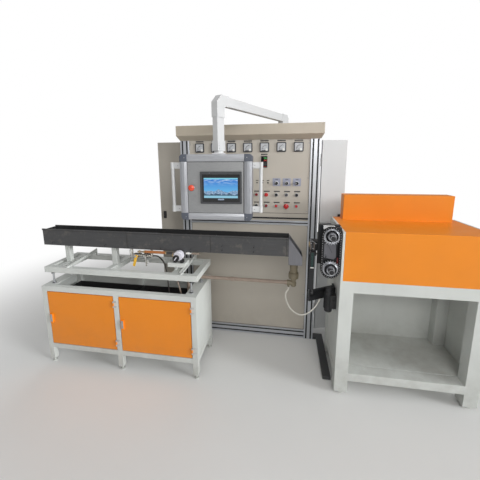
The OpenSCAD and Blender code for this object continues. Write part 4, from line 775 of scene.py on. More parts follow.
def temperature_display():
    m = Piece()
    here = on_front(DISPLAY_X, DISPLAY_Z)
    m.add(prism(rounded(54, 96, 3), 0, 9, 1.2, 3), "black_plastic", here)
    m.add(prism(rounded(46, 46, 1), 8.6, 9.15), "dark_glass", here @ at(0, 20))
    m.add(block((-22, -45, -70), (22, 45, 0), 0.6), "black_plastic", here)
    lift = here @ at(0, 0, 0.9)
    for z, high, finish, figures in ((30, 13, "green_light", ("bcf", "abged", "bcfg")),
                                     (12, 11, "red_light", ("abcd", "bcfg", "abcdef"))):
        for k, segments in enumerate(figures):
            digit(m, -1 + k * 9.5, z, 6.4, high, segments, finish, lift)
    for k in range(4):
        m.add(prism(rounded(8.5, 6, 1.5, 3), 8.8, 10.0, 0.4, 2), "dark_grey_plastic", here @ at(-16.5 + k * 11, -20))
    m.add(prism(rounded(40, 7, 1, 3), 8.9, 9.3, 0.2, 1), "dark_red", here @ at(0, -40))
    m.done("temperature_controller", "temperature_display", True)


def speed_knobs():
    m = Piece()
    for n, x in enumerate(BUTTON_X[2:]):
        here = on_front(x, KNOB_Z)
        m.add(prism(rounded(66, 66, 4), 0, 2, 0.5, 2), "knob_plate", here)
        m.lathe(("zinc", here, 16, (5, -25), (5, 0)))
        low = here @ at(0, -9)
        for k in range(11):
            a = math.radians(225 - 27 * k)
            m.add(block((-0.6, 21, 1.95), (0.6, 26 if k % 5 == 0 else 24, 2.15), 0), "ink", low @ spun(a - QUARTER))
        m.add(block((-12, 22, 1.95), (12, 26, 2.15), 0), "ink", here)
        m.lathe(("white_plastic", low, 40, (16, 2), (16, 5.5), (15.2, 6.2), (0, 6.2)))
        grip = [polar(12.6 if k % 2 else 13.5, math.tau * k / 36) for k in range(36)]
        m.add(prism(grip, 6.2, 19.5, 0.5, 1, 60), "black_plastic", low)
        m.add(block((-1.0, 2, 19.3), (1.0, 10.4, 19.95), 0.2, 1), "white_plastic",
              low @ spun(math.radians(KNOB_TURN[n])))
    m.done("speed_knob_set", "speed_knobs", True)


def push_buttons():
    m = Piece()
    upper = ["dark_red", "red", "black_plastic", "dark_grey_plastic", "black_plastic"]
    lower = ["black_plastic", "dark_red", "red", None, "red"]
    for z, row in ((ROW_HIGH, upper), (ROW_LOW, lower)):
        for k, finish in enumerate(row):
            here = on_front(BUTTON_X[k], z)
            m.lathe(
                ("black_plastic", here, 24, (11, -40), (11, 0)),
                ("chrome", here, 36, (16.8, 0), (16.8, 3.2), (15.6, 5), (13.0, 5.2), (12.8, 3.6), (0, 3.6)))
            if finish:
                big = k == 1 and z == ROW_HIGH
                r = 16.5 if big else 12.3
                dome = [(r, 5.4 if big else 3), (r, 10.2), (r - 0.9, 11.4), (r - 3, 12 if big else 11.7),
                        (0, 12 if big else 11.2)]
                m.add(turned(dome, 36), finish, here)
            else:
                m.lathe(("red", here, 48, (10, 3), (10, 16), (14, 17), (21.4, 19), (22, 21.5), (20.4, 25), (15, 27.4),
                         (0, 28)))
    for i in range(3):
        here = on_front(81 + i * 47, 1433)
        m.lathe(("black_plastic", here, 24, (6, 0), (6, 2.6), (5.2, 3.2), (3.4, 3.3), (3.2, 3.9), (0, 4)))
    m.done("push_button_set", "push_buttons", True, 40)


def gaskets_and_slot_shade():
    """dark gasket lines where the sheets meet the bars, dark strips on the slots of the posts and rails as painted
    shade, and the screws of the sheets
    """
    m = Piece()
    for z0, z1 in ((1168, 1794), (86, 1087)):
        for x in (-518, 518):
            m.add(block((x - 1.2, PANEL_Y - 0.7, z0 + 2), (x + 1.2, PANEL_Y + 1, z1 - 4), 0), "seam")
        m.add(block((-518, PANEL_Y - 0.7, z0 + 1), (518, PANEL_Y + 1, z0 + 4), 0), "seam")
    m.done("panel_gaskets", "front_panels")
    # strips wider than the slot openings, laid on the slots of the posts and rails: painted shade of the slots
    m = Piece()
    for sx in (-1, 1):
        for sy in (-1, 1):
            for q in (-20, 20):
                x, y = sx * 600, sy * (250 + q)
                m.add(block((x - 0.35, y - 6.6, 2), (x + 0.35, y + 6.6, 1792), 0), "slot_dark")
                x, y = sx * (560 + q), sy * 290
                m.add(block((x - 6.6, y - 0.35, 2), (x + 6.6, y + 0.35, 1792), 0), "slot_dark")
    m.done("post_slot_strips", "cabinet_posts")
    m = Piece()
    for sy, z in ((-1, 1127.5), (-1, 25), (-1, 65), (1, 25), (1, 65)):
        m.add(block((-520, sy * 290 - 0.35, z - 6.6), (520, sy * 290 + 0.35, z + 6.6), 0), "slot_dark")
    for sx in (-1, 1):
        for z in (25, 65):
            m.add(block((sx * 600 - 0.35, -210, z - 6.6), (sx * 600 + 0.35, 210, z + 6.6), 0), "slot_dark")
    m.done("rail_slot_strips", "cabinet_rails")
    rows = facing(OUT, (-506, 506), [PANEL_Y - 0.1], spread(120, 1060, 4))
    rows += facing(OUT, (-506, 506), [PANEL_Y - 0.1], spread(1190, 1760, 3))
    rows += facing(REAR, (-504, 504), [284.1], spread(110, 1740, 7))
    rows += facing(REAR, spread(-420, 420, 6), [284.1], (101, 1750))
    fasteners("sheet_screws", rows, "front_panels", 9, 2.6)


ammeters()
label_plates()
temperature_display()
speed_knobs()
push_buttons()
gaskets_and_slot_shade()


# ------------ operator panel
PANEL = at(-112.56, -871.87) @ spun(math.radians(3.35)) @ at(-10, 0)
FACE, BACK, LOW, MID, TOP, HALF = -87, 43, 1237, 1449, 1661, 233
SIDE_BAR, TOP_BAR = 50, 47
HANDLE_ENDS = (1308.5, 1589.5)


def on_face(x, z):
    """a place on the front plate of the operator panel, +Z pointing out of the plate"""
    return aimed(OUT, (x, FACE, z))


def bar_outline(width):
    """section of a frame bar from its outer to its inner edge: ribs, then a lip that slopes to the plate"""
    k = width / 50
    ribs = [(14, 0), (14.6, 1.8), (16.4, 1.8), (17, 0), (23, 0), (23.6, 1.8), (25.4, 1.8), (26, 0), (32, 0)]
    return [(0, 13), (0.8, 8), (3.5, 3.5), (8, 0.9), *((x * k, y) for x, y in ribs), (width, 6.5), (width, 130),
            (0, 130)]


def panel_fasteners(name, node, rows, size, height):
    """screws on rows drawn in the panel's own frame"""
    fasteners(name, [(tuple(PANEL @ Vector(p)), tuple(PANEL.to_3x3() @ Vector(f))) for p, f in rows], node, size,
              height)


def panel_frame():
    m = Piece()
    for side in (-1, 1):
        outline = [(side * (HALF - u), FACE + v) for u, v in bar_outline(SIDE_BAR)]
        m.add(prism(outline, LOW + TOP_BAR, TOP - TOP_BAR, 0.3, 1, 40), "panel_frame")
    across = Matrix(((0, 0, -1, 0), (0, 1, 0, 0), (1, 0, 0, 0), (0, 0, 0, 1)))
    for z, side in ((LOW, 1), (TOP, -1)):
        outline = [(z + side * u, FACE + v) for u, v in bar_outline(TOP_BAR)]
        m.add(prism(outline, SIDE_BAR - HALF, HALF - SIDE_BAR, 0.3, 1, 40), "panel_frame_x", across)
    m.done("panel_frame_bars", "panel_profiles", True, 24, PANEL)
    g = Piece()
    x, z0, z1 = HALF - SIDE_BAR, LOW + TOP_BAR, TOP - TOP_BAR
    for a, b in (((-x, z0), (-x + 2.2, z1)), ((x - 4.5, z0), (x, z1)), ((-x, z1 - 2.4), (x, z1)),
                 ((-x, z0), (x, z0 + 1.8))):
        g.add(block((a[0], FACE + 3.4, a[1]), (b[0], FACE + 5, b[1]), 0), "seam")
    g.done("panel_seal", "panel_plate", False, 32, PANEL)
    rows = [((side * (HALF - 33), FACE + 0.2, z), OUT) for side in (-1, 1) for z in (LOW + 22, TOP - 22)]
    rows += [((side * (x - 12), FACE + 3.8, z), OUT) for side in (-1, 1) for z in (z0 + 12, z1 - 12)]
    panel_fasteners("panel_screws", "panel_plate", rows, 6.5, 1.6)


def screen_material():
    """a plain landscape on a lit screen: sky, soft cloud, two rows of hills and light bars above and below"""
    mat, tree, shader, _ = new_material("screen_picture")
    uv = tree.nodes.new("ShaderNodeUVMap").outputs[0]
    xyz = put(tree, "ShaderNodeSeparateXYZ", Vector=uv).outputs
    across, up = xyz[0], xyz[1]

    def skyline(scale, shift, base, swing):
        line = put(tree, "ShaderNodeCombineXYZ", X=calc(tree, "MULTIPLY_ADD", across, scale, shift)).outputs[0]
        height = remap(tree, noise(tree, line, 1.0, 3.0, 0.55), 0.3, 0.7, base - swing, base + swing)
        above = calc(tree, "SUBTRACT", height, up)
        return remap(tree, above, -0.006, 0.006, 0.0, 1.0)

    sky = mixed(tree, remap(tree, up, 0.2, 0.9, 0.0, 1.0), (0.16, 0.55, 0.90, 1), (0.02, 0.19, 0.68, 1))
    cloud = noise(tree, stretched(tree, uv, (3.2, 9.0, 1)), 1.6, 5.0, 0.6)
    belt = remap(tree, up, 0.58, 0.86, 0.0, 1.0)
    cover = calc(tree, "MULTIPLY", remap(tree, cloud, 0.46, 0.66, 0.0, 0.9), belt)
    sky = mixed(tree, cover, sky, (0.62, 0.80, 0.95, 1))
    far = mixed(tree, remap(tree, noise(tree, uv, 22.0, 4.0), 0.4, 0.65, 0.0, 1.0), (0.10, 0.22, 0.42, 1),
                (0.45, 0.58, 0.72, 1))
    view = mixed(tree, skyline(3.1, 4.3, 0.36, 0.12), sky, far)
    near = mixed(tree, remap(tree, noise(tree, uv, 30.0, 5.0), 0.4, 0.65, 0.0, 1.0), (0.010, 0.035, 0.08, 1),
                 (0.12, 0.20, 0.28, 1))
    view = mixed(tree, skyline(5.3, 1.7, 0.20, 0.09), view, near)
    view = mixed(tree, remap(tree, up, 0.10, 0.13, 1.0, 0.0), view, (0.30, 0.62, 0.78, 1))
    view = mixed(tree, remap(tree, up, 0.93, 0.94, 0.0, 1.0), view, (0.25, 0.70, 0.85, 1))
    fill(tree, shader, {"Emission Color": view, "Emission Strength": 0.85, "Base Color": (0.01, 0.02, 0.03, 1),
                        "Roughness": 0.12})
    return mat


def touch_screen():
    m = Piece()
    here = on_face(34, MID)
    m.add(prism(rounded(268, 206, 5), -4, 3, 1.0, 2), "screen_bezel", here)
    m.add(prism(rounded(242, 176, 3), 2.6, 3.25), "dark_glass", here @ at(1, -3))
    m.add(prism(rounded(38, 9, 1.5, 3), 3.2, 3.6, 0.15, 1), "tag_metal", here @ at(1, -74))
    m.lathe(("tag_metal", here @ at(-72, 94), 12, (1.8, 3), (1.6, 3.5), (0, 3.5)))
    m.add(block((-126, -95, -45), (126, 95, -4), 1.5), "dark_grey_plastic", here)
    m.done("touch_screen_case", "touch_screen", True, 32, PANEL)
    bm = bmesh.new()
    uv = bm.loops.layers.uv.new("UVMap")
    place = PANEL @ here
    columns, rows = 8, 5
    grid = [[bm.verts.new(place @ Vector((-109 + 218 * i / columns, -65 + 128 * j / rows, 3.35)) * MM)
             for i in range(columns + 1)] for j in range(rows + 1)]
    for j in range(rows):
        for i in range(columns):
            cell = ((i, j), (i + 1, j), (i + 1, j + 1), (i, j + 1))
            f = bm.faces.new([grid[b][a] for a, b in cell])
            for loop, (a, b) in zip(f.loops, cell):
                loop[uv].uv = (a / columns, b / rows)
    mesh_object("screen_view", bm, [screen_material()], "touch_screen")


def stop_button():
    m = Piece()
    here = on_face(-155, MID)
    m.lathe(
        ("black_plastic", here, 24, (11, -50), (11, -4)),
        ("chrome", here, 40, (16, -4), (16, 0.6), (15, 2), (12.4, 2.2), (12, 11), (0, 11)),
        ("red_orange", here, 48, (12, 10.6), (18.4, 11.6), (20, 13.6), (19.6, 18), (17.6, 22), (13, 25), (6, 26),
         (0, 26.2)))
    m.done("stop_mushroom", "stop_button", True, 40, PANEL)


def panel_handles():
    m = Piece()
    grip_x = HALF + 43 + 11
    for side in (-1, 1):
        x, y = side * grip_x, FACE + 33
        m.lathe(("arm", at(x, y), 28, (9.6, 1287.5), (11, 1289.5), (11, 1608.5), (9.6, 1610.5)))
        for z in HANDLE_ENDS:
            m.lathe(("arm", at(x, y), 28, (12.6, z - 21), (13.4, z - 20), (13.4, z + 20), (12.6, z + 21)))
            a, b = sorted((side * HALF, x))
            m.add(block((a, y - 11, z - 20), (b, y + 11, z + 20), 5.0, 3), "arm")
    m.done("panel_grips", "panel_handles", True, 32, PANEL)
    rows = [((side * (HALF + 16), FACE + 22, z), OUT) for side in (-1, 1) for z in HANDLE_ENDS]
    panel_fasteners("grip_screws", "panel_handles", rows, 7, 1.2)


def panel_rear():
    """cable glands, vent slots and the closing screws on the back of the panel"""
    m = Piece()
    for x in (-60, 0, 60):
        here = aimed(DOWN, (x, 10, LOW + 1))
        m.lathe(("black_plastic", here, 6, (11, -4), (11, 0), (9, 0.6), (9, 0.9), (0, 0.9)))
    # the vent slots are thin strips of the dark gasket finish: painted shade of the openings
    for k in range(9):
        z = 1540 - k * 9
        m.add(prism(rounded(120, 4.2, 2, 3), BACK - 2.2, BACK - 1.8), "seam", at(0, 0, z) @ spun(-QUARTER, "X"))
    m.done("panel_vents", "panel_back", False, 32, PANEL)
    rows = facing(REAR, spread(-168, 168, 4), [BACK - 2], (LOW + 60, TOP - 60))
    panel_fasteners("panel_back_screws", "panel_back", rows, 7, 2.0)


panel_frame()
touch_screen()
stop_button()
panel_handles()
panel_rear()


# ------------ bench, trough and water parts
TROUGH_Y = LINE_Y
DRAIN_FLOOR_BELOW, DRAIN_LIFT = 0.8765, 0.023


def drain_parts():
    """the drain box ends a little above its CAD solid, and the fitting below it fills the rest"""
    bm = cad_mesh("drain_box")
    for v in bm.verts:
        if v.co.z < DRAIN_FLOOR_BELOW:
            v.co.z += DRAIN_LIFT
    bevelled(bm, sharp_edges(bm, 28), 0.001, 2)
    mesh_object("drain_box_finished", bm, [M["galvanised"]], "drain_box", True)
    m = Piece()
    here = at(396, TROUGH_Y)
    m.lathe(("fitting", here, 40, (15, 893.5), (27, 893.5), (28.5, 891), (28.5, 850), (27, 848), (27, 838),
             (28.5, 836), (28.5, 815), (15, 815)))
    octagon = [polar(37, math.radians(22.5 + 45 * k)) for k in range(8)]
    m.add(prism(octagon, 772, 816, 2.0, 2), "fitting", here)
    for k in range(16):
        m.add(block((34.0, -1.5, 778), (36.6, 1.5, 810), 0.5, 1), "fitting", here @ spun(math.tau * k / 16))
    m.lathe(
        ("fitting", here, 36, (18, 773), (18, 742), (21.5, 738), (21.5, 722), (20, 713), (14, 707), (0, 705)),
        ("fitting", here @ aimed(LEFT, (0, 0, 735)), 36, (20, 44), (20, 24), (18.4, 22), (18.4, 0)),
        ("fitting", here @ aimed(LEFT, (0, 0, 735)), 36, (21.6, 46), (21.6, 34), (20, 33)),
        ("fitting", at(362, TROUGH_Y), 24, (7, 735), (7, 716), (8.4, 714), (8.4, 706), (6.2, 704), (6.2, 701),
         (0, 701)))
    m.done("drain_elbow", "drain_fitting", True, 40)


def trough_details():
    m = Piece()
    for x in (-867, -207, 340):
        m.add(block((x - 1.2, -796.4, 957), (x + 1.2, -795.9, 1089), 0), "seam")
    for y in (-796.2, -654.2):
        m.add(block((-1603, y - 0.2, 1078), (355, y + 0.6, 1079.4), 0), "seam")
    m.add(block((-1600, -788, 1035), (352, -662, 1036), 0), "water")
    m.done("trough_lines", "trough")
    rows = facing(OUT, (-121, 110), [-790.2], (1012, 978))
    rows += facing(OUT, spread(-1520, -360, 6), [-790.2], [975])
    fasteners("trough_bolts", rows, "trough", 15, 6, "dark_steel", 6)
    rows = facing(UP, spread(-1540, 300, 9), [-793.5], [1090])
    fasteners("trough_rim_rivets", rows, "trough", 4, 0.8)


def pump():
    m = Piece()
    x, z, front, rear = -443.5, 932, -838, -796
    here = aimed(OUT, (x, rear, z))
    m.lathe(("pump", here, 48, (33, 0), (36, 1.5), (36, 10), (34.6, 11), (34.6, 13), (36, 14), (36, 36), (33, 42),
             (20, 43)))
    ring = aimed(OUT, (x - 10, front, z - 12))
    m.lathe(("black_plastic", ring, 40, (12, 0), (23, 0), (23, 20), (21, 23.6), (16, 24), (14, 22), (13, 8)))
    m.add(block((-3.4, -19, 6), (3.4, 19, 23), 1.2), "pump", ring @ spun(math.radians(-38)))
    m.add(block((-13, -13, 0), (13, 13, 5), 2), "dark_steel", ring)
    for side in (-1, 1):
        m.add(block((x + side * 26 - 11, front + 2, 880), (x + side * 26 + 11, rear - 4, 902), 3), "black_plastic")
        m.add(block((x + side * 24 - 6, front + 8, 898), (x + side * 24 + 6, rear - 10, 912), 2), "black_plastic")
    m.lathe(("brass", aimed(LEFT, (x, -817, z)), 24, (8, 0), (8, 34), (10, 35), (10, 48), (8, 50)))
    m.done("pump_body", "pump", True, 36)


def pipes():
    m = Piece()
    m.lathe(
        ("rust_pipe", aimed(RIGHT, (0, -805, 943.5)), 24, (10.4, -716), (10.4, -554)),
        ("dark_steel", aimed(RIGHT, (0, -805, 942)), 24, (8.6, -554), (8.6, -496)))
    for x in (-760, -722, -548):
        m.lathe(("brass", aimed(RIGHT, (0, -805, 942)), 6, (10.4, x - 5), (11.2, x - 3.5), (11.2, x + 3.5),
                 (10.4, x + 5)))
    m.lathe(
        ("white_plastic", aimed(RIGHT, (0, -800, 946)), 24, (6.5, -392), (8.5, -390), (8.5, -368), (6, -366),
         (6, -350)),
        ("pipe", aimed(RIGHT, (0, -800, 946)), 20, (6, -350), (6, -303), (7.4, -302), (7.4, -292), (0, -292)))
    m.done("supply_sleeve", "return_pipe", False, 36)
    m = Piece()
    for x in (-395, -60, 340):
        m.lathe(("pipe", aimed(RIGHT, (0, TROUGH_Y, 735)), 28, (13.6, x - 12), (16, x - 11), (16, x + 11),
                 (13.6, x + 12)))
    m.done("return_sockets", "return_pipe", False, 36)


def valve_details():
    m = Piece()
    y = -760
    for x in (-852, -828, -772, -748, -700):
        m.lathe(("nickel", aimed(RIGHT, (0, y, 898)), 6, (12.4, x - 6), (13.6, x - 4.5), (13.6, x + 4.5),
                 (12.4, x + 6)))
    m.lathe(
        ("white_plastic", at(-858, y, 922), 24, (11, -18), (12, -17), (12, 14), (9, 16)),
        ("white_plastic", aimed(RIGHT, (-864, y, 932)), 24, (10.4, 0), (11.4, 2), (11.4, 16), (9, 18)),
        ("white_plastic", aimed(DOWN, (-720, y - 8, 862)), 20, (6.5, -2), (6.5, 26), (5, 28), (0, 28)),
        ("brass", aimed(RIGHT, (-684, y, 898)), 20, (6.4, -14), (8.2, -13), (8.2, 4), (6.4, 5)))
    m.done("valve_nuts", "valve_manifold", False, 36)


def bench_details():
    m = Piece()
    for x in (-343, -1491):
        for z in (667, 751):
            m.lathe(
                ("black_steel", at(x, -852.5), 6, (12.4, z - 5), (13.2, z - 4), (13.2, z + 4), (12.4, z + 5)),
                ("zinc", at(x, -852.5), 28, (16, z - 6.6), (16, z - 5)))
    m.done("stud_nuts", "levelling_studs", False, 36)
    m = Piece()
    for x in (-412, -1343):
        m.add(block((x - 4.4, -874, 804), (x + 4.4, -856, 812), 1), "bar_white")
    m.done("bar_feet", "lift_frame")
    for n, x in (("bench_door_right", -870), ("bench_door_left", -1480)):
        m = Piece()
        m.add(block((x - 9, -936.0, 372), (x + 9, -934.4, 432), 0.6), "zinc")
        m.lathe(("chrome", aimed(OUT, (x, -934.6, 402)), 24, (7, 0), (7, 1.6), (5.8, 2.2), (0, 2.2)))
        m.done(n + "_latch", n)


drain_parts()
trough_details()
pump()
pipes()
valve_details()
bench_details()


# ------------ chain drive
TEETH, PITCH, STRAIGHT = 22, 15.875, 14
RADIUS = PITCH / (2 * math.sin(math.pi / TEETH))
AXLE_X, AXLE_HIGH = 624, 1139
AXLE_LOW = AXLE_HIGH - STRAIGHT * PITCH
CHAIN_FRONT, CHAIN_REAR, PLATE = -890.0, -873.2, 1.8
CHAIN_MID = (CHAIN_FRONT + CHAIN_REAR) / 2


def chain_joint(i):
    """the middle of a joint, counted from the right of the upper sprocket, over it, down, round and up"""
    half, step = TEETH // 2, math.tau / TEETH
    i %= TEETH + 2 * STRAIGHT
    if half <= i < half + STRAIGHT:
        return Vector((AXLE_X - RADIUS, 0, AXLE_HIGH - (i - half) * PITCH))
    if i >= TEETH + STRAIGHT:
        return Vector((AXLE_X + RADIUS, 0, AXLE_LOW + (i - TEETH - STRAIGHT) * PITCH))
    x, z = polar(RADIUS, (i if i < half else i - STRAIGHT) * step)
    return Vector((AXLE_X + x, 0, (AXLE_HIGH if i < half else AXLE_LOW) + z))


def moved(part, place):
    part.transform(place)
    return part


def unit_shape(name, parts):
    """one shape for the tree below, drawn in millimetres, the faces of its marked parts flagged"""
    bm = bmesh.new()
    mark = bm.faces.layers.bool.new("mark")
    for part, marked in parts:
        before = set(bm.faces)
        pour(part, bm)
        for f in bm.faces:
            if f not in before:
                f[mark] = marked
    bm.transform(Matrix.Scale(MM, 4))
    return linked(name, as_mesh(name, bm))


def link_shape(name, layers, rod, rod_radius):
    """one link about its own middle: two waisted plates and the rods or rollers between them"""
    r = 7.7
    end = [(PITCH / 2 + x, y) for x, y in [polar(r, math.radians(a)) for a in range(-75, 76, 30)]]
    outline = end + [(0, r * 0.78)] + [(-x, -y) for x, y in end] + [(0, -r * 0.78)]
    y0, y1 = rod
    narrow = rod_radius * 0.8
    side = [(narrow, y0), (rod_radius, y0 + 0.5), (rod_radius, y1 - 0.5), (narrow, y1)]
    return unit_shape(name, [(moved(prism(outline, -high, -low, 0.35, 1, 60), UPRIGHT), False) for low,
                             high in layers]
                      + [(moved(turned(side, 10), aimed(REAR, (x, 0, 0))), True) for x in (-PITCH / 2, PITCH / 2)])


def unit_tree():
    """the first and the second shape on every point in turn, laid along the point's facing"""
    tree, given, out = node_tree("units_in_turn", [
        ("First unit", "Object", None), ("Second unit", "Object", None), ("Body finish", "Material", None),
        ("Mark finish", "Material", None), ("Unit size", "Float", 1.0)])
    turn = put(tree, "FunctionNodeAlignRotationToVector", _axis="X", _pivot_axis="Y",
               Vector=named(tree, "facing", "FLOAT_VECTOR")).outputs[0]
    index = tree.nodes.new("GeometryNodeInputIndex").outputs[0]
    odd = calc(tree, "MODULO", index, 2.0)
    even = calc(tree, "LESS_THAN", odd, 0.5)
    joined = tree.nodes.new("GeometryNodeJoinGeometry")
    size = put(tree, "ShaderNodeCombineXYZ", **dict.fromkeys("XYZ", given["Unit size"])).outputs[0]
    for label, chosen in (("First unit", even), ("Second unit", odd)):
        shape = put(tree, "GeometryNodeObjectInfo", Object=given[label]).outputs["Geometry"]
        placed = put(tree, "GeometryNodeInstanceOnPoints", Points=given["Geometry"], Selection=chosen, Instance=shape,
                     Rotation=turn, Scale=size).outputs[0]
        tree.links.new(placed, joined.inputs[0])
    return finished_tree(tree, joined.outputs[0], "mark", given["Body finish"], given["Mark finish"], out)


UNITS = unit_tree()


def drive_chain():
    a, b = CHAIN_FRONT - CHAIN_MID, CHAIN_REAR - CHAIN_MID
    outer = link_shape("outer_link", ((a, a + PLATE), (b - PLATE, b)), (a - 1.5, b + 1.5), 2.3)
    inner = link_shape("inner_link", ((a + PLATE, a + 2 * PLATE), (b - 2 * PLATE, b - PLATE)),
                       (a + 2 * PLATE, b - 2 * PLATE), 5.1)
    joints = [chain_joint(i) for i in range(TEETH + 2 * STRAIGHT + 1)]
    spans = list(zip(joints, joints[1:]))
    grown("drive_chain_loop", "drive_chain", UNITS, [((p.x + q.x) / 2, CHAIN_MID, (p.z + q.z) / 2) for p, q in spans],
          [(q - p).normalized() for p, q in spans],
          {"First unit": outer, "Second unit": inner, "Body finish": M["chain"], "Mark finish": M["pin"]}, True)
    for link in (outer, inner):
        bpy.data.objects.remove(link)


def sprocket_faces():
    """turned recess, hub ring, six bolt heads and shaft end on the front of each sprocket"""
    m = Piece()
    for z in (AXLE_LOW, AXLE_HIGH):
        here = aimed(OUT, (AXLE_X, CHAIN_FRONT - 5, z))
        # the dark ring in the recess, the dark shaft and the near-black disc on the shaft end are painted shade of
        # the recess, the shaft and the bore
        m.lathe(
            ("sprocket", here, 48, (42, 0.2), (41, 0.9), (39.6, 0.4), (39, 0.2)),
            ("sprocket_shade", here, 48, (29, 0.05), (29, 0.35), (24, 0.35), (24, 0.05)),
            ("sprocket", here, 40, (24.6, -1), (24.6, 4.2), (23.4, 5), (18.2, 5), (18.2, -1)),
            ("pin", here, 36, (17.6, 46), (17.6, 49.2), (16.4, 50), (11.4, 50), (11.1, 46)),
            ("sprocket_shade", here, 36, (17.6, 6), (17.7, 44)),
            ("slot_dark", here, 36, (15.2, 49.4), (15.2, 50.3), (0, 50.3)))
        for k in range(6):
            m.lathe(("dark_steel", here @ at(*polar(32.5, math.tau * k / 6)), 12, (2.6, 0.3), (2.6, 1.4), (0, 1.4)))
    m.done("sprocket_fronts", "drive_sprockets", False, 36)


def drive_details():
    m = Piece()
    m.add(block((575, -850.8, 1194.0), (646, -822, 1195.6), 0.4, 1), "plate_white")
    m.add(block((551, -800, 1199.4), (628, -768, 1200), 0.2, 1), "plate_white")
    m.add(block((573.6, -852.0, 1176), (648, -850.6, 1193), 0.4, 1), "plate_white")
    m.add(block((664, -869, 930), (684, -853, 990), 2.0), "dark_red")
    m.done("drive_plates", "drive_housing")
    m = Piece()
    fold = [(597, 1092), (600, 1092), (634, 1022), (631, 1022)]
    m.add(prism(fold, -0.2, 0.9, 0.2, 1), "dark_steel", at(0, -865.6) @ UPRIGHT)
    m.lathe(
        # the near-black disc stands for a hole in the bracket: painted shade
        ("slot_dark", aimed(OUT, (595, -865.4, 993)), 20, (5, -0.3), (5, 0.5), (0, 0.5)),
        ("zinc", aimed(OUT, (645, -865.2, 1084)), 6, (3.4, 0), (3.4, 2.2), (0, 2.4)))
    m.done("bracket_fold", "drive_bracket")


def line_guide_details():
    m = Piece()
    m.add(block((499, -795, 722), (533, -792.6, 998), 0.8), "black_steel")
    m.add(prism(rounded(16, 104, 7), 0, 1.0), "slot_green", aimed(OUT, (517, -795.2, 943)))
    m.add(block((506, -798.4, 882), (530, -795, 890), 1.5), "white_plastic")
    for x in (505, 529, 553, 571):
        m.add(block((x - 4, -768, 1006), (x + 4, -762.6, 1060), 1.0), "rust_steel")
    for k in range(5):
        m.lathe(("zinc", aimed(OUT, (507 + 15.5 * k, -763.2, 1014 if k % 2 else 1052)), 6, (4.6, 0), (4.6, 4),
                 (3.6, 5)))
    m.add(block((498, -770, 972), (580, -760, 984), 1.5), "rust_steel")
    m.lathe(("brass", aimed(LEFT, (500.4, TROUGH_Y, 1033)), 32, (17, -2), (19.5, -1), (19.5, 3), (17, 4)))
    for lift in (22, 4):
        path = [(504, -758, 1046), (501.6, -766, 1060 + lift), (508, -768, 1066 + lift * 0.5), (522, -768, 1066),
                (536, -766, 1056), (548, -762, 1050)]
        m.add(tube(smooth_path(path, 6), 1.6, 8), "zinc")
    m.done("guide_clamps", "line_guide", False, 36)


def motor():
    m = Piece()
    here = at(640, -781.2)
    m.lathe(("black_steel", here, 40, (22, 565), (27, 570), (27, 584), (28.5, 586), (28.5, 698), (27, 700), (27, 712),
             (24, 716), (24, 741), (21, 745), (0, 745)))
    for k in (*range(5), *range(14, 18)):
        m.add(block((28.0, -1.0, 590), (32.5, 1.0, 694), 0.4, 1), "black_steel",
              here @ spun(math.tau * (k + 0.5) / 18 + math.pi))
    m.add(block((648, -812, 596), (690, -752, 694), 3, 3), "black_plastic")
    m.add(block((662, -818, 618), (688, -808, 662), 2), "black_plastic")
    m.lathe(("zinc", aimed(DOWN, (674, -800, 598)), 16, (7, 0), (7, 8), (5, 9), (5, 12), (0, 12)))
    m.done("drive_motor_body", "drive_motor", True, 32)


drive_chain()
sprocket_faces()
drive_details()
line_guide_details()
motor()


# ------------ inside and rear of the cabinet, rear of the haul-off
def repeated(name, node, shape, points, body, mark):
    grown(name, node, UNITS, points, [RIGHT] * len(points),
          {"First unit": shape, "Second unit": shape, "Body finish": M[body], "Mark finish": M[mark]})
    bpy.data.objects.remove(shape)


DUCT_Z = (350, 710, 1090, 1470)


def switchgear():
    m = Piece()
    for z in (520, 900, 1280):
        m.add(block((-430, 142.5, z - 17.5), (430, 150, z + 17.5), 0.4, 1), "zinc")
    for z in DUCT_Z:
        m.add(block((-440, 90, z - 22), (440, 91.5, z + 22), 0.3, 1), "duct")
        m.add(block((-440, 148.5, z - 22), (440, 150, z + 22), 0.3, 1), "duct")
    m.add(block((-420, 60, 1180), (-250, 142, 1370), 3, 2), "dark_grey_plastic")
    m.add(block((-405, 58, 1300), (-265, 61, 1355), 1), "screen_bezel")
    m.add(block((270, 70, 1190), (420, 142, 1360), 2, 2), "duct")
    for k in range(3):
        m.add(block((-410 + k * 150, 40, 420), (-290 + k * 150, 142, 640), 3, 2), "dark_grey_plastic")
        m.add(block((-395 + k * 150, 38.6, 560), (-305 + k * 150, 41, 620), 1), "label")
    m.done("switchgear_units", "mounting_plate")
    breaker = unit_shape("breaker", [(block((-8.7, 78, -42), (8.7, 142, 42), 0.8, 1), False),
                                     (block((-4, 70, -8), (4, 79, 8), 0.8, 1), True)])
    rail = [(x, 0, 1280) for x in spread(-225, 225, 24)] + [(x, 0, 900) for x in spread(-410, -60, 19)]
    repeated("breaker_rows", "mounting_plate", breaker, rail, "duct", "black_plastic")
    relay = unit_shape("contactor", [(block((-22, 62, -40), (22, 142, 40), 1.2, 1), False),
                                     (block((-15, 58, -12), (15, 63, 12), 1, 1), True)])
    repeated("contactor_row", "mounting_plate", relay, [(x, 0, 900) for x in spread(0, 400, 8)], "dark_grey_plastic",
             "white_plastic")
    finger = unit_shape("duct_finger", [(block((-3, 92, -1), (3, 149, 1), 0), False)])
    edges = [(x, 0, z + s * 21) for z in DUCT_Z for s in (-1, 1) for x in spread(-436, 436, 60)]
    repeated("duct_fingers", "mounting_plate", finger, edges, "duct", "duct")


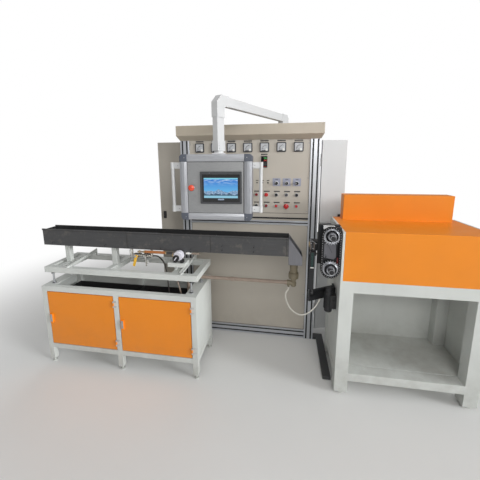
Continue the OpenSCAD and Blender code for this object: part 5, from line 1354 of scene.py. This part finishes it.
def rear_details():
    turn = spun(-QUARTER, "Y")
    hood = [(0, 0), (0, 7), (-5, 5.6), (-7, 0)]
    # under each louvre hood a near-black strip: painted shade of the opening
    shape = unit_shape("louvre", [(moved(prism(hood, -48, 48, 0.6, 2, 60), turn), False),
                                  (moved(block((-7.8, -0.2, -48), (-7, 0.6, 48), 0), turn), True)])
    slits = [(x, 283.6, z) for low in (260, 1380) for z in spread(low, low + 220, 10) for x in (-260, 0, 260)]
    repeated("rear_louvres", "rear_panel", shape, slits, "cabinet", "slot_dark")
    m = Piece()
    for x in (-518.6, 518.6):
        m.add(block((x - 1.2, 283.6, 86), (x + 1.2, 284.6, 1765), 0), "seam")
    for x in (-420, -360, -300, -240):
        m.lathe(("black_plastic", aimed(REAR, (x, 0, 140)), 24, (16, 283), (16, 287), (13, 288), (13, 298), (11, 301),
                 (6, 302), (6, 299), (0, 299)))
    m.done("rear_gaskets", "rear_panel")
    rows = facing(REAR, spread(740, 1540, 5), [-384.9], (1130, 210))
    fasteners("haul_rear_screws", rows, "haul_panels", 10, 3)


switchgear()
rear_details()


# ------------ floor and light
FADE_START, FADE_END, GLOSSY_FADE = 1.8, 4.2, 0.4  # the floor turns to plain white between these radii in metres
EVEN_LIGHT, EVEN_GLOSS = 0.22, 0.16


def stage_floor():
    bm = bmesh.new()
    bmesh.ops.create_grid(bm, x_segments=1, y_segments=1, size=30)
    floor = linked("floor", as_mesh("floor", bm))
    mat, tree, shader, coord = new_material("floor_pale")
    tone = mixed(tree, noise(tree, coord, 1.2, 4.0), (0.74, 0.74, 0.73, 1), (0.80, 0.80, 0.79, 1))
    fill(tree, shader, {"Base Color": tone, "Roughness": 0.75})
    reach = put(tree, "ShaderNodeVectorMath", _operation="LENGTH", i0=coord).outputs["Value"]
    far = put(tree, "ShaderNodeMapRange", _interpolation_type="SMOOTHSTEP", i0=reach, i1=FADE_START, i2=FADE_END,
              i3=0.0, i4=1.0).outputs[0]
    rays = tree.nodes.new("ShaderNodeLightPath")
    gloss = calc(tree, "MULTIPLY", rays.outputs["Is Glossy Ray"], GLOSSY_FADE)
    seen = calc(tree, "MAXIMUM", rays.outputs["Is Camera Ray"], gloss)
    fade = calc(tree, "MULTIPLY", far, seen)
    white = put(tree, "ShaderNodeEmission", Color=(1, 1, 1, 1), Strength=1.0)
    blend = put(tree, "ShaderNodeMixShader", i0=fade, i1=shader.outputs[0], i2=white.outputs[0])
    tree.links.new(blend.outputs[0], tree.nodes["Material Output"].inputs["Surface"])
    floor.data.materials.append(mat)


def lamp(name, kind, energy, source, target, colour=(1, 1, 1)):
    data = bpy.data.lights.new(name, kind)
    data.energy, data.color = energy, colour
    way = Vector(target) - Vector(source)
    linked(name, data).matrix_world = Matrix.Translation(source) @ way.to_track_quat("-Z", "Y").to_matrix().to_4x4()
    return data


def soft_lamp(name, power, size, *aim):
    """a rectangular lamp of width and height in metres"""
    data = lamp(name, "AREA", power, *aim)
    data.shape, data.size, data.size_y = "RECTANGLE", *size


def surroundings():
    world = bpy.data.worlds.new("studio")
    bpy.context.scene.world = world
    world.use_nodes = True
    tree = world.node_tree
    back = tree.nodes["Background"]
    rays = tree.nodes.new("ShaderNodeLightPath")
    seen = calc(tree, "MAXIMUM", rays.outputs["Is Camera Ray"], rays.outputs["Is Transmission Ray"])
    level = remap(tree, seen, 0.0, 1.0, EVEN_LIGHT, 1.0)
    gloss = remap(tree, rays.outputs["Is Glossy Ray"], 0.0, 1.0, 0.0, EVEN_GLOSS)
    total = calc(tree, "ADD", level, gloss)
    fill(tree, back, {"Color": (1, 1, 1, 1), "Strength": total})


stage_floor()
surroundings()
soft_lamp("key", 38, (2.2, 2.0), (4.9, -2.3, 2.8), (0.2, -0.5, 1.0), (0.97, 0.99, 1.0))
soft_lamp("left", 20, (2.6, 2.0), (-4.8, -1.2, 2.4), (-0.6, -0.4, 0.9))
soft_lamp("front", 74, (2.4, 1.6), (1.3, -4.8, 2.9), (0.0, -0.4, 1.2), (1.0, 0.99, 0.97))
soft_lamp("top", 26, (3.0, 3.0), (0.3, -1.4, 4.6), (0.2, -0.6, 0.8))
soft_lamp("rear", 45, (2.6, 2.0), (-1.6, 4.4, 3.0), (-0.1, 0.3, 1.0))
lamp("even_right", "SUN", 2.0, (0.94, -0.30, 0.22), (0, 0, 0), (0.97, 0.99, 1.0)).angle = math.radians(18)
